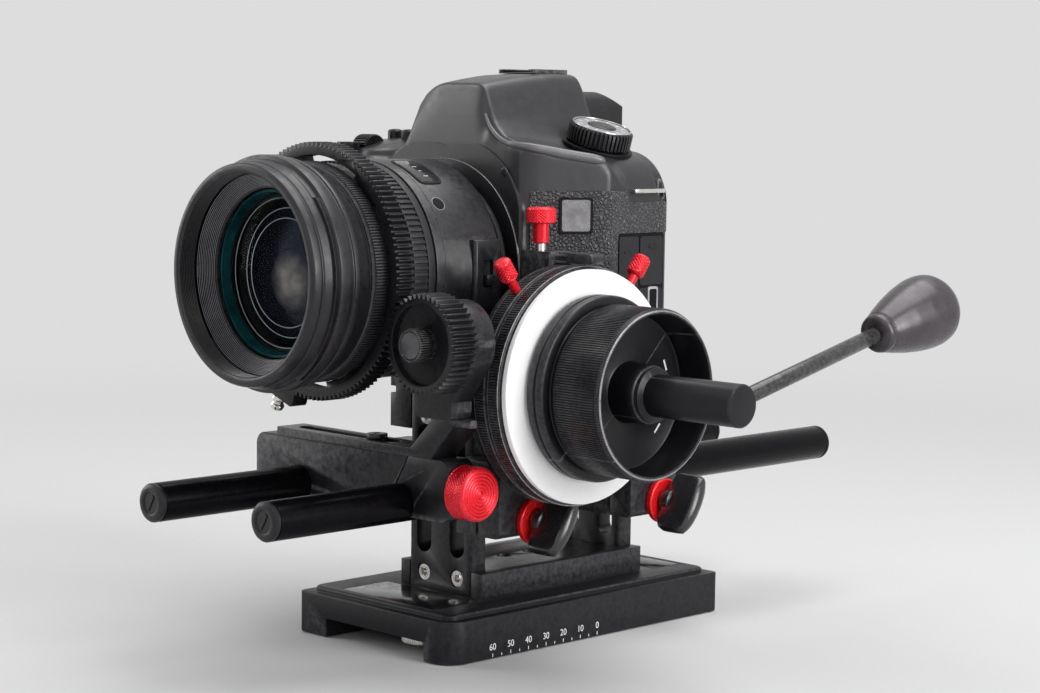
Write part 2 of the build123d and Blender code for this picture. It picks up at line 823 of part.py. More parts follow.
def make_focus_ring():
    inner = lens_body_radius - lens_wall + moving_gap
    start = lens_focus_ring_start
    end = start + lens_focus_ring_length
    outer = lens_body_radius
    profile = [
        (inner, start),
        (outer - 1.0, start),
        (outer - 0.4, start + 1.0),
        (outer - 0.4, end - 0.6),
        (outer - 1.0, end),
        (inner, end),
    ]
    write("focus_ring", about_y(turned(profile), 0, lens_z))


def make_lens_gear_ring():
    """The toothed ring strapped round the focus ring, with its split clamp block below."""
    toward = (drive_gear_x, drive_gear_z)
    ring = gear_y(ring_teeth, 0, lens_z, lens_gear_front, lens_gear_width, toward, False)
    rear = lens_gear_front + lens_gear_width
    ring -= bar_y(0, lens_z, lens_gear_front - 1, rear + 1, lens_gear_bore)
    seat = lens_body_radius - 0.4
    pads = bar_y(0, lens_z, lens_gear_front + 1, rear - 1, lens_gear_bore + 0.5)
    pads -= bar_y(0, lens_z, lens_gear_front, rear, seat)
    step = 360 / lens_gear_pads
    for n in range(lens_gear_pads):
        wedge = Pos(0, 0, lens_z) * Rot(0, ring_clamp_angle + 20 + step * n, 0)
        pad = pads & (wedge * span((30, 60), (lens_gear_front, rear), (-7, 7)))
        ring += pad
    place = Pos(0, 0, lens_z) * Rot(0, ring_clamp_angle, 0)
    inner = lens_gear_bore + 1.5
    outer = ring_tip_radius + 5.0
    half = ring_block_width / 2
    block = span((inner, outer), (lens_gear_front, rear), (-half, half))
    block = fillet(block.edges().filter_by(Axis.Y).sort_by(Axis.X)[-2:], 1.2)
    middle = (lens_gear_front + rear) / 2
    screw_z = 3.2 - half
    hole = bar_x(middle, screw_z, inner + 1.0, outer + 1, 1.6 + running_gap)
    ring = ring + place * block - place * hole
    write("lens_gear_ring", ring)
    profile = [
        (0, inner + 1.2),
        (1.6, inner + 1.2),
        (1.6, outer + 0.4),
        (2.6, outer + 0.8),
        (2.9, outer + 2.0),
        (2.2, outer + 3.2),
        (2.2, outer + 3.6),
        (2.9, outer + 4.8),
        (2.4, outer + 6.4),
        (0, outer + 6.8),
    ]
    write("ring_clamp_screw", place * about_x(turned(profile), middle, screw_z))


# ---------------------------------------------------------------- follow focus bracket and arm
def make_bracket():
    """The bracket that sits on both rods, slit above the right rod so its knob can clamp it."""
    x = (-bracket_half_width, bracket_half_width)
    z = (rod_height - bracket_below_rods, bracket_top)
    ends = (bracket_front - 1, bracket_rear + 1)
    plate = span(x, (bracket_front, bracket_rear), z)
    plate = fillet(plate.edges().filter_by(Axis.Y), bracket_corner)
    for side in (-1, 1):
        plate -= bar_y(side * rod_x, rod_height, ends[0], ends[1], rod_radius + running_gap)
    slit = [
        (rod_x - 6.0, rod_height + 2.0),
        (rod_x + 3.5, bracket_top - 0.5),
        (rod_x + 4.3, bracket_top + 1.0),
        (rod_x + 4.3 + bracket_slit, bracket_top + 1.0),
        (rod_x + 3.5 + bracket_slit, bracket_top - 0.7),
        (rod_x - 6.0 + bracket_slit, rod_height + 2.0),
    ]
    plate -= prism_xz(slit, ends[0], ends[1])
    hole_z = rod_height + bracket_knob_height
    knob_y = bracket_front + bracket_depth / 2
    reach = rod_x + sqrt(rod_radius**2 - bracket_knob_height**2)
    plate -= bar_x(knob_y, hole_z, reach, bracket_half_width + 1, 2.5 + running_gap)
    plate -= bar_z(arm_screw_x, arm_screw_y(), bracket_top - 7, bracket_top + 1, 2.0 + running_gap)
    write("ff_bracket", plate)
    start = bracket_half_width + 0.6
    end = start + bracket_knob_length
    profile = [
        (0, start),
        (bracket_knob_radius - 0.8, start),
        (bracket_knob_radius, start + 0.8),
        (bracket_knob_radius, end - 0.8),
        (bracket_knob_radius - 0.8, end),
        (7.0, end),
        (7.0, end - 0.5),
        (6.4, end - 0.5),
        (6.4, end),
        (3.8, end),
        (3.8, end - 0.5),
        (3.2, end - 0.5),
        (3.2, end),
        (0, end),
    ]
    knob = about_x(turned(profile), knob_y, hole_z)
    stud = bar_x(knob_y, hole_z, reach + 3.6, start + 1, 2.5)
    write("bracket_knob", knob + stud)


def arm_screw_y():
    return (arm_front + 1.0 + bracket_rear) / 2


def make_arm():
    """The slotted bar that slides on the bracket and cranks up to carry the gearbox."""
    z0 = bracket_top
    z1 = z0 + arm_bar_height
    rise = case_bottom - z1
    foot = 3.0
    shoulder = drum_inner_x - 0.5
    top_x = lay_shaft_x - arm_incline_from_shaft
    under_x = top_x + arm_incline_width
    end_x = shoulder + 7.0
    outline = [
        (arm_left, z0),
        (under_x - rise, z0),
        (under_x - 1.0, case_bottom - foot - 0.4),
        (under_x + 1.0, case_bottom - foot),
        (end_x, case_bottom - foot),
        (end_x, case_bottom),
        (top_x, case_bottom),
        (top_x - rise, z1),
        (arm_left, z1),
    ]
    arm = prism_xz(outline, arm_front, bracket_rear)
    arm -= span((shoulder, shoulder + 8), (gearbox_rear, bracket_rear + 1), (z1, case_bottom + 1))
    y = arm_screw_y()
    half = arm_slot_width / 2
    slot = span(arm_slot_x, (y - half, y + half), (z0 - 1, z1 + 1))
    for end in arm_slot_x:
        slot += bar_z(end, y, z0 - 1, z1 + 1, half)
    write("ff_arm", arm - slot)
    head = bar_z(arm_screw_x, y, z1, z1 + 2.0, 4.2)
    shank = bar_z(arm_screw_x, y, z0 - 6.0, z1 + 1, 2.0)
    socket = Pos(arm_screw_x, y, z1 + 2.0) * extrude(RegularPolygon(1.6, 6), 1.4, both=True)
    write("arm_screw", head + shank - socket)


# ---------------------------------------------------------------- gearbox
def gear_case(grow, y):
    """Rounded case round the lay gear and the pinion, `grow` bigger than their hollow."""
    low = lay_case_radius - housing_wall + grow
    high = pinion_case_radius - housing_wall + grow
    facing = atan2(drive_gear_z - wheel_height, drive_gear_x - lay_shaft_x)
    swing = acos((low - high) / pair_distance)
    sides = []
    for x, z, radius in ((lay_shaft_x, wheel_height, low), (drive_gear_x, drive_gear_z, high)):
        for turn in (swing, -swing):
            angle = facing + turn
            sides.append((x + radius * cos(angle), z + radius * sin(angle)))
    web = prism_xz([sides[0], sides[1], sides[3], sides[2]], y[0], y[1])
    case = web + bar_y(lay_shaft_x, wheel_height, y[0], y[1], low)
    return case + bar_y(drive_gear_x, drive_gear_z, y[0], y[1], high)


def rear_case():
    """Outer faces of the part that holds the lay shaft and the mitre gears."""
    return (
        (lay_shaft_x - lay_case_radius, drum_inner_x),
        (gearbox_rear, wheel_y + 11.0),
        (wheel_height - lay_case_radius, wheel_height + lay_case_radius),
    )


def make_housing():
    """The gear case with the drum, its flange and the thumb screw's block bolted to it."""
    wall = housing_wall
    case = gear_case(wall, (gearbox_front, gearbox_rear))
    low = lay_case_radius
    foot_x = (lay_shaft_x - low, lay_shaft_x + low)
    foot = span(foot_x, (gearbox_front, gearbox_rear), (case_bottom, wheel_height))
    foot = fillet(foot.edges().filter_by(Axis.Y).sort_by(Axis.Z)[:2], 3.0)
    x, y, z = rear_case()
    case = case + foot + span(x, y, z)
    case -= gear_case(0, (gearbox_front + wall, gearbox_rear - wall))
    lay_front = gearbox_rear + bush_seat
    case -= span((x[0] + wall, x[1] - wall), (lay_front, y[1] - wall), (z[0] + wall, z[1] - wall))
    mitre_room = bar_x(
        wheel_y, wheel_height, x[1] - wall - 1, mitre_base_x + mitre_backing, mitre_radius + 2.6
    )
    case -= mitre_room
    # holes for the bushes, and blind ends for the shafts
    blind = 1.0
    case_front = gearbox_front + wall
    case_rear = gearbox_rear - wall
    bore = shaft_radius + running_gap
    case -= bar_y(drive_gear_x, drive_gear_z, gearbox_front - 1, case_front + 1, bush_radius)
    case -= bar_y(drive_gear_x, drive_gear_z, case_rear - 1, case_rear + blind, bore)
    case -= bar_y(lay_shaft_x, wheel_height, case_front - blind, case_front + 1, bore)
    case -= bar_y(lay_shaft_x, wheel_height, case_rear - 1, lay_front + 1, bush_radius)
    # drum: a flange behind the stop rings and a cup that they turn on, closed by the disc
    core_x = ring_a_x - stop_ring_gap / 2
    bush_hole = bar_x(wheel_y, wheel_height, drum_inner_x - 1, drum_outer_x + 1, wheel_bush_radius)
    flange = bar_x(wheel_y, wheel_height, drum_inner_x, core_x, drum_flange_radius)
    cup = bar_x(wheel_y, wheel_height, core_x, drum_outer_x, drum_core_radius)
    hollow = bar_x(
        wheel_y, wheel_height, core_x + drum_floor, drum_outer_x + 1, drum_core_radius - drum_wall
    )
    cup -= hollow - bar_x(wheel_y, wheel_height, drum_inner_x, drum_outer_x + 2, drum_hub_radius)
    # block on top that holds the thumb screw and the index pointer
    block_y = (wheel_y - block_half_width, wheel_y + block_half_width)
    block_x = (thumb_screw_x - block_overhang, core_x)
    block = span(block_x, block_y, (thumb_block_top - block_height, thumb_block_top))
    strut_x = (drum_inner_x - strut_thickness, drum_inner_x)
    block += span(strut_x, block_y, (z[1], thumb_block_top - 1))
    block -= bar_x(wheel_y, wheel_height, drum_inner_x, core_x + 1, drum_flange_radius)
    hole_bottom = thumb_block_top - thumb_screw_depth - 0.5
    block -= bar_z(thumb_screw_x, wheel_y, hole_bottom, thumb_block_top + 1, thumb_hole_radius)
    write("gearbox_housing", case, flange - mitre_room - bush_hole, cup - bush_hole, block)


def make_bearings():
    """Plain bushes that carry the three shafts."""

    def sleeve_y(x, z, y0, y1):
        bore = bar_y(x, z, y0 - 1, y1 + 1, shaft_radius + running_gap)
        return bar_y(x, z, y0, y1, bush_radius) - bore

    x0 = mitre_base_x + mitre_backing
    x1 = drum_outer_x - 1.0
    wheel_bush = bar_x(wheel_y, wheel_height, x0, x1, wheel_bush_radius)
    wheel_bush -= bar_x(wheel_y, wheel_height, x0 - 1, x1 + 1, wheel_shaft_radius + running_gap)
    lay_y = (gearbox_rear - housing_wall, gearbox_rear + bush_seat)
    write(
        "shaft_bushes",
        sleeve_y(drive_gear_x, drive_gear_z, gearbox_front, gearbox_front + housing_wall),
        sleeve_y(lay_shaft_x, wheel_height, lay_y[0], lay_y[1]),
        wheel_bush,
    )


def mitre(hub_length):
    """A 45 degree mitre gear about Z, its small end up, with shallow radial teeth."""
    small = mitre_radius - mitre_length
    gear = turned([(0, 0), (mitre_radius, 0), (small, mitre_length), (0, mitre_length)])
    count = 18
    for n in range(count):
        cut = Pos(mitre_radius, 0, 0) * Rot(0, -45, 0) * Box(0.9, 0.8, 3 * mitre_length)
        gear -= Rot(0, 0, 360 * n / count) * cut
    hub = mitre_radius - 2
    return gear + turned([(0, -hub_length), (hub, -hub_length), (hub, 0.1), (0, 0.1)])


def make_shafts():
    y0 = gearbox_front + housing_wall + gear_room
    width = gearbox_rear - gearbox_front - 2 * (housing_wall + gear_room)
    y1 = y0 + width
    blind = 0.9
    apex = mitre_radius + mitre_gap
    at_drive = (drive_gear_x, drive_gear_z)
    at_lay = (lay_shaft_x, wheel_height)
    # lay shaft: small spur gear in front, mitre gear behind
    lay = gear_y(lay_teeth, at_lay[0], at_lay[1], y0, width, at_drive, True)
    lay += bar_y(at_lay[0], at_lay[1], y0 - gear_room - blind, wheel_y - apex, shaft_radius)
    lay += Pos(at_lay[0], wheel_y - apex, at_lay[1]) * Rot(-90, 0, 0) * mitre(1.5)
    write("lay_shaft", lay)
    # drive shaft: pinion inside, then out to the drive gear
    drive = gear_y(pinion_teeth, at_drive[0], at_drive[1], y0, width, at_lay, False)
    end = y1 + gear_room + blind
    drive += bar_y(at_drive[0], at_drive[1], drive_gear_front + 3.0, end, shaft_radius)
    write("drive_shaft", drive)
    # wheel shaft: mitre gear inside, then out to the handwheel
    shaft = bar_x(wheel_y, wheel_height, mitre_base_x, recess_x - 3.0, wheel_shaft_radius)
    place = Pos(mitre_base_x, wheel_y, wheel_height) * Rot(0, -90, 0) * Rot(0, 0, 10)
    write("wheel_shaft", shaft + place * mitre(0.3))


def make_drive_gear():
    """The gear that meets the lens ring, dished in front, with its knurled retaining screw."""
    toward = (0, lens_z)
    front = drive_gear_front
    gear = gear_y(drive_teeth, drive_gear_x, drive_gear_z, front, drive_gear_width, toward, True)
    rim = gear_module * drive_teeth / 2 - 3.0
    dish = 3.0
    rear = front + drive_gear_width
    gear -= bar_y(drive_gear_x, drive_gear_z, front - 1, front + dish, rim)
    gear -= bar_y(drive_gear_x, drive_gear_z, front + dish, rear + 1, shaft_radius)
    write("drive_gear", gear)
    write("drive_gear_screw", bar_y(drive_gear_x, drive_gear_z, front - 5.2, front + dish, 6.3))


# ---------------------------------------------------------------- stop rings, disc and handwheel
def make_stop_ring(name, x0, angle):
    """A hard-stop ring with a boss hole for its screw, ribbed on its rim."""
    middle = x0 + stop_ring_width / 2
    profile = [
        (drum_core_radius + moving_gap, x0),
        (drum_radius - 0.6, x0),
        (drum_radius, x0 + 0.6),
        (drum_radius, x0 + stop_ring_width - 0.6),
        (drum_radius - 0.6, x0 + stop_ring_width),
        (drum_core_radius + moving_gap, x0 + stop_ring_width),
    ]
    ring = about_x(turned(profile), wheel_y, wheel_height)
    place = Pos(middle, wheel_y, wheel_height) * Rot(angle, 0, 0)
    ring -= place * bar_z(0, 0, drum_core_radius - 1, drum_radius + 1, 1.5 + running_gap)
    write(name + "_ring", ring)
    shank_end = drum_radius + 5.0
    shank = bar_z(0, 0, drum_core_radius + 1.0, shank_end, 1.5)
    head = turned([
        (0, shank_end - 0.5),
        (2.6, shank_end - 0.5),
        (3.6, shank_end + 1.0),
        (3.6, shank_end + 8.4),
        (3.1, shank_end + 9.2),
        (0, shank_end + 9.2),
    ])
    write(name + "_screw", place * (shank + head))


def make_marking_disc():
    disc = bar_x(wheel_y, wheel_height, disc_x, disc_x + disc_thickness, disc_radius)
    disc -= bar_x(wheel_y, wheel_height, disc_x - 1, disc_x + 5, wheel_shaft_radius)
    write("marking_disc", disc)


def make_handwheel():
    """The handwheel: stepped flange, neck, ribbed grip, deep recess and centre boss."""
    bore = wheel_shaft_radius
    profile = [
        (bore, flange_x),
        (flange_radius - 1.5, flange_x),
        (flange_radius, flange_x + 2.0),
        (flange_radius, neck_x - 0.8),
        (flange_radius - 0.8, neck_x),
        (wheel_neck_radius, neck_x),
        (wheel_neck_radius, grip_x),
        (wheel_radius - 0.6, grip_x),
        (wheel_radius, grip_x + 0.6),
        (wheel_radius, rim_x - 1.0),
        (wheel_radius - 1.0, rim_x),
        (wheel_radius - wheel_rim_wall, rim_x),
        (wheel_radius - wheel_rim_wall - 0.8, recess_x),
        (boss_radius, recess_x),
        (boss_radius, recess_x + boss_length - 1.0),
        (boss_radius - 1.0, recess_x + boss_length),
        (post_radius - 2.0, recess_x + boss_length),
        (post_radius - 2.0, recess_x - 3.0),
        (bore, recess_x - 3.0),
    ]
    write("handwheel", about_x(turned(profile), wheel_y, wheel_height))


def make_crank():
    """The speed crank: a post plugged into the wheel's boss, a lever and a turning knob."""
    seat_x = recess_x + boss_length
    profile = [
        (0, recess_x - 3.0),
        (post_radius - 2.0, recess_x - 3.0),
        (post_radius - 2.0, seat_x),
        (boss_collar_radius, seat_x),
        (boss_collar_radius, seat_x + 1.6),
        (post_radius, seat_x + 2.4),
        (post_radius, post_end_x - 0.6),
        (post_radius - 0.6, post_end_x),
        (0, post_end_x),
    ]
    post = about_x(turned(profile), wheel_y, wheel_height)
    place = Pos(lever_x, wheel_y, wheel_height) * Rot(lever_angle, 0, 0)
    post -= place * bar_y(0, 0, -3.0, post_radius + 1, lever_radius)
    write("crank_post", post)
    pin_radius = 2.4
    pin_end = lever_reach + 30.0
    lever = bar_y(0, 0, -3.0, knob_start - 0.4, lever_radius)
    lever += bar_y(0, 0, knob_start - 1, pin_end, pin_radius)
    write("crank_lever", place * lever)
    profile = [(pin_radius + running_gap, 0), (5.6, 0), (6.3, 1.0), (6.3, 2.6)]
    steps = 14
    for n in range(steps + 1):
        share = n / steps
        radius = 6.3 + (knob_radius - 6.3) * sin(pi / 2 * min(1.0, share / 0.62)) ** 0.9
        if share > 0.62:
            tail = (share - 0.62) / 0.38
            radius = knob_radius * sqrt(max(0.0, 1 - (tail * 0.93) ** 2.6))
        profile.append((radius, 2.8 + (knob_length - 2.8) * share))
    profile.append((0, knob_length))
    profile.append((0, pin_end - knob_start + 1.0))
    profile.append((pin_radius + running_gap, pin_end - knob_start + 1.0))
    knob = Pos(0, knob_start, 0) * Rot(-90, 0, 0) * turned(profile)
    write("crank_knob", place * knob)


def make_pointer():
    """The index pointer that reaches over the disc's edge, and the thumb screw beside it."""
    x = (drum_inner_x + drum_flange, disc_x + disc_thickness + 1.0)
    z = (thumb_block_top - 4.2, thumb_block_top - 0.2)
    bar = span(x, (wheel_y - 1.0, wheel_y + 6.0), z)
    bar = chamfer(bar.edges().filter_by(Axis.Y).sort_by(Axis.X)[-2:], 1.2)
    write("index_pointer", bar)
    neck = thumb_block_top + 2.7
    head = neck + 7.7
    top = head + 6.2
    tip = thumb_block_top - thumb_screw_depth
    profile = [
        (0, tip),
        (thumb_shank_radius, tip),
        (thumb_shank_radius, neck),
        (3.1, neck),
        (3.1, head),
        (5.2, head),
        (5.8, head + 0.6),
        (5.8, top - 0.6),
        (5.2, top),
        (0, top),
    ]
    write("thumb_screw", Pos(thumb_screw_x, wheel_y, 0) * turned(profile))


# ---------------------------------------------------------------- camera
def body_plan(z0, z1, rear, inset=0.0):
    """The camera's outline seen from above, with the hand grip on the left."""
    left = body_left + inset
    right = body_right - inset
    front = body_front + inset
    grip_right = body_left + grip_width
    body = span((left, right), (front, rear), (z0, z1))
    body = fillet(upright_edges(body), body_corner_radius)
    grip = span((left, grip_right - inset), (front - grip_reach, front + 12), (z0, z1))
    grip = fillet(upright_edges(grip), grip_corner_radius)
    return body + grip


def shoulder_waste(rear):
    """What is cut off the body's upper corners to round them, seen from the front."""
    y = (mirror_box_front - 1, rear)
    waste = None
    for edge, radius in ((body_right, shoulder_radius), (body_left, grip_shoulder_radius)):
        side = 1 if edge > 0 else -1
        centre = edge - side * radius
        x = sorted((centre, edge + side))
        z = body_top - radius
        corner = span(x, y, (z, body_top + 1)) - bar_y(centre, z, y[0] - 1, y[1] + 1, radius)
        waste = corner if waste is None else waste + corner
    return waste


def lug_recess():
    x = (body_right - lug_recess_depth, body_right + 1)
    return span(x, lug_recess_y, lug_recess_z)


def make_camera_shell():
    rear = body_rear - back_thickness
    shell = body_plan(camera_bottom, body_seam, rear)
    half = mirror_box_half_width
    box = span((-half, half), (mirror_box_front, body_front + 6), (camera_bottom + 2, body_seam))
    box = fillet(box.edges().filter_by(Axis.Y), mirror_box_corner_radius)
    shell += box
    shell += bar_y(0, lens_z, lens_barrel_end + 0.05, mirror_box_front + 2, mount_ring_radius)
    # throat, mirror box and the tripod socket
    shell -= bar_y(0, lens_z, lens_barrel_end - 1, mirror_box_front + 8, lens_mount_radius)
    chamber = mirror_chamber_half_width
    y = (mirror_box_front + 4, mirror_chamber_rear)
    shell -= span((-chamber, chamber), y, (lens_z - 17, body_seam + 1))
    socket = camera_thread_radius + running_gap
    shell -= bar_z(0, camera_screw_y, camera_bottom - 1, camera_bottom + 9, socket)
    # well of the lens release button
    release_well = release_radius + seat_gap
    y = (mirror_box_front - 1, mirror_box_front + button_well)
    shell -= bar_y(release_x, release_z, y[0], y[1], release_well)
    # side pocket behind the port cover
    shell -= span((body_right - port_pocket_depth, body_right + 1), port_y, port_z)
    shell -= shoulder_waste(rear + 1)
    shell -= lug_recess()
    write("camera_shell", shell)


def make_port_cover():
    gap = port_cover_sink
    y = (port_y[0] + gap, port_y[1] - gap)
    z = (port_z[0] + gap, port_z[1] - gap)
    x = (body_right - port_pocket_depth + 2 * gap, body_right - gap)
    write("port_cover", span(x, y, z))


def make_top_cover():
    rear = body_rear - back_thickness
    cover = body_plan(body_seam, body_top, rear)
    cover = fillet(cover.faces().sort_by(Axis.Z)[-1].edges(), body_edge_radius)
    cover -= shoulder_waste(rear + 1)
    half_front = [
        (-mirror_box_half_width - 1, body_seam + 0.2),
        (-mirror_box_half_width + 2, prism_foot_z - 5),
        (-prism_foot_half_width, prism_foot_z),
        (-prism_foot_half_width + 6, prism_foot_z + 7),
        (-prism_shoulder_half_width, prism_shoulder_z),
        (-prism_shoulder_half_width + 3.5, prism_shoulder_z + 7.5),
        (-prism_top_half_width, prism_top),
    ]
    front_view = half_front + [(-x, z) for x, z in reversed(half_front)]
    side_view = [
        (mirror_box_front, body_seam + 0.2),
        (mirror_box_front + 0.4, prism_foot_z),
        (mirror_box_front + 3.0, prism_shoulder_z),
        (mirror_box_front + 5.0, prism_top - 6.5),
        (mirror_box_front + 7.5, prism_top - 3.7),
        (mirror_box_front + 13.0, prism_top - 2.2),
        (mirror_box_front + 31.0, prism_top - 0.5),
        (mirror_box_front + 37.0, prism_top),
        (rear, prism_top),
        (rear, body_seam + 0.2),
    ]
    cover += prism_xz(front_view, mirror_box_front - 3, rear + 1) & prism_yz(side_view, -50, 50)
    dial = dial_place()
    bed = dial_sink + 0.4
    cover += dial * bar_z(0, 0, -dial_stem_length, -bed, dial_radius + 0.2)
    cover -= dial * bar_z(0, 0, -bed, 12.0, dial_radius + 0.4)
    cover -= dial * bar_z(0, 0, -dial_stem_length - 0.5, 1.0, dial_stem_radius + running_gap)
    cover -= lug_recess()
    cover -= bar_z(shutter_x, shutter_y, body_top - 5, body_top + 1, shutter_radius + seat_gap)
    chamber = mirror_chamber_half_width - 0.5
    y = (mirror_box_front + 4, mirror_chamber_rear)
    cover -= span((-chamber, chamber), y, (body_seam - 1, body_seam + 3))
    ring_rear = mirror_box_front + 2 + seat_gap
    cover -= bar_y(0, lens_z, lens_barrel_end - 1, ring_rear, mount_ring_radius + seat_gap)
    write("camera_top_cover", cover)


def dial_place():
    """Where the mode dial stands on the camera's shoulder, tipped outwards."""
    return Pos(dial_x, dial_y, dial_z) * Rot(0, dial_tilt, 0)


def make_mode_dial():
    profile = [
        (0, -dial_sink),
        (dial_radius - 0.8, -dial_sink),
        (dial_radius, -dial_sink + 0.8),
        (dial_radius, dial_rise - 1.0),
        (dial_radius - 0.8, dial_rise),
        (0, dial_rise),
    ]
    dial = turned(profile) + bar_z(0, 0, -dial_stem_length, 0, dial_stem_radius)
    write("mode_dial", dial_place() * dial)


def make_back_cover():
    x = (body_left, body_right)
    y = (body_rear - back_thickness, body_rear)
    plate = span(x, y, (camera_bottom, body_top))
    plate -= shoulder_waste(body_rear + 1)
    plate = fillet(plate.faces().sort_by(Axis.Y)[-1].edges(), body_edge_radius)
    plate -= span(screen_x, (body_rear - screen_depth, body_rear + 1), screen_z)
    dial_floor = body_rear - rear_dial_depth
    well = rear_dial_radius + 0.4
    plate -= bar_y(rear_dial_x, rear_dial_z, dial_floor, body_rear + 1, well)
    plate -= span((-15, 15), (body_rear - 3, body_rear + 1), (176, body_top + 1))
    plate -= lug_recess()
    write("camera_back_cover", plate)
    glass_x = (screen_x[0] + seat_gap, screen_x[1] - seat_gap)
    glass_z = (screen_z[0] + seat_gap, screen_z[1] - seat_gap)
    glass_y = (body_rear - screen_depth, body_rear - 0.2)
    write("rear_screen", span(glass_x, glass_y, glass_z))
    dial = bar_y(rear_dial_x, rear_dial_z, dial_floor, body_rear + 0.9, rear_dial_radius)
    bore = set_button_radius + 0.4
    dial -= bar_y(rear_dial_x, rear_dial_z, dial_floor - 0.5, body_rear + 2, bore)
    write("rear_dial", dial)
    button_y = (dial_floor + press_travel, body_rear + 0.8)
    button = bar_y(rear_dial_x, rear_dial_z, button_y[0], button_y[1], set_button_radius)
    write("set_button", button)
    make_eyecup()


def make_eyecup():
    half = eyecup_half_width
    window = eyecup_window_half_width
    y = (body_rear - back_thickness, body_rear + eyecup_length)
    eyecup = span((-half, half), y, eyecup_z)
    eyecup = fillet(eyecup.edges().filter_by(Axis.Y), 6.0)
    slope = [
        (y[1] - 12.0, eyecup_z[1] + 0.1),
        (y[1] + 1.0, eyecup_z[1] + 0.1),
        (y[1] + 1.0, eyecup_z[1] - 6.5),
    ]
    eyecup -= prism_yz(slope, -half - 1, half + 1)
    eyecup -= span((-window, window), (y[0] + 2, y[1] + 1), eyecup_window_z)
    write("eyecup", eyecup)


def make_camera_small():
    half = shoe_width / 2
    shoe_top = prism_top + shoe_height
    shoe = span((-half, half), shoe_y, (prism_top, prism_top + shoe_plate))
    for side in (-1, 1):
        wall = sorted((side * (half - shoe_wall), side * half))
        lip = sorted((side * (half - shoe_lip), side * half))
        shoe += span(wall, shoe_y, (prism_top, shoe_top))
        shoe += span(lip, shoe_y, (shoe_top - 0.6, shoe_top))
    write("hot_shoe", shoe)
    y = (lug_recess_y[0] + 1, lug_recess_y[1] - 2)
    z = (lug_z, lug_z + lug_height)
    right_lug = span((body_right - lug_recess_depth, body_right + lug_reach), y, z)
    left_lug = span((body_left - lug_reach, body_left), y, z)
    write("strap_lugs", right_lug, left_lug)
    shutter_z = (body_top - 5.0 + press_travel, body_top + button_proud)
    shutter = bar_z(shutter_x, shutter_y, shutter_z[0], shutter_z[1], shutter_radius)
    write("shutter_button", shutter)
    y = (mirror_box_front - button_proud, mirror_box_front + button_well - press_travel)
    write("lens_release", bar_y(release_x, release_z, y[0], y[1], release_radius))
    hinge = Pos(0, mirror_hinge_y, mirror_hinge_z) * Rot(45, 0, 0)
    half = mirror_half_width
    thick = mirror_thickness / 2
    mirror = hinge * span((-half, half), (-mirror_length, 0), (-thick, thick))
    reach = mirror_chamber_half_width
    mirror += bar_x(mirror_hinge_y, mirror_hinge_z, -reach, reach, mirror_pin_radius)
    write("mirror", mirror)


def main():
    os.makedirs("parts", exist_ok=True)
    make_tripod_plate()
    make_plate_screws()
    make_base_plate()
    make_riser("front_riser", True)
    make_riser("rear_riser", False)
    make_riser_screws()
    make_clamps()
    for which in ("front", "rear"):
        make_wing_knob(f"wing_knob_{which}_right", which, 1)
        make_wing_knob(f"wing_knob_{which}_left", which, -1)
    make_rod("right_rod", 1)
    make_rod("left_rod", -1)
    make_camera_platform()
    make_lens_front_ring()
    make_lens_glass()
    make_lens_barrel()
    make_focus_ring()
    make_lens_gear_ring()
    make_bracket()
    make_arm()
    make_housing()
    make_bearings()
    make_shafts()
    make_drive_gear()
    make_stop_ring("stop_a", ring_a_x, 36.0)
    make_stop_ring("stop_b", ring_b_x, -37.0)
    make_marking_disc()
    make_handwheel()
    make_crank()
    make_pointer()
    make_camera_shell()
    make_port_cover()
    make_top_cover()
    make_mode_dial()
    make_back_cover()
    make_camera_small()


main()
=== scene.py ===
import json
from math import cos, pi, radians, sin, sqrt

import bmesh
import bpy
from mathutils import Matrix, Vector

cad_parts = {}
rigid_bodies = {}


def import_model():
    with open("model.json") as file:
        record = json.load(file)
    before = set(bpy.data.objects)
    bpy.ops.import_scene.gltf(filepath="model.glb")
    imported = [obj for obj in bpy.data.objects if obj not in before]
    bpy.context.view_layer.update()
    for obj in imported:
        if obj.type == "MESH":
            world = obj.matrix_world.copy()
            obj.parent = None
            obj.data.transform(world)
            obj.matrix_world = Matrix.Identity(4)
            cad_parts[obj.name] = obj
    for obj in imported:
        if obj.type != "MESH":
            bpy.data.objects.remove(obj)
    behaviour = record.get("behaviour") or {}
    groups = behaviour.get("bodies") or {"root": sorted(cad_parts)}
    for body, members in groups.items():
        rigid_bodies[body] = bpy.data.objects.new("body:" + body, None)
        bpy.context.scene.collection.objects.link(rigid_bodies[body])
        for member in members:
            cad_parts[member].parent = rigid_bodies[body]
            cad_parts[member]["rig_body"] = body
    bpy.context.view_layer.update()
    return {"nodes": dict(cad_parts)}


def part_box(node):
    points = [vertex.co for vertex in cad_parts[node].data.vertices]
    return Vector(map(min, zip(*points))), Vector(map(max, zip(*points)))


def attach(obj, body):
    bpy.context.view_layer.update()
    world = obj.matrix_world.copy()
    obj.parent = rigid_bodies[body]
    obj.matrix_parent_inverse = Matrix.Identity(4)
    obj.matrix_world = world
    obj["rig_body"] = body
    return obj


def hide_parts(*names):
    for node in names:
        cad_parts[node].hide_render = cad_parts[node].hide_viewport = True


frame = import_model()

MM = 0.001
SMOOTH_ANGLE = radians(32)

# ---------------------------------------------------------------- camera
CAMERA_PLACE = (0.69776, -0.70272, 0.21570)
CAMERA_YAW = radians(44.775)
CAMERA_PITCH = radians(5.748)          # downwards
CAMERA_ROLL = radians(0.772)
CAMERA_LENS = 82.66


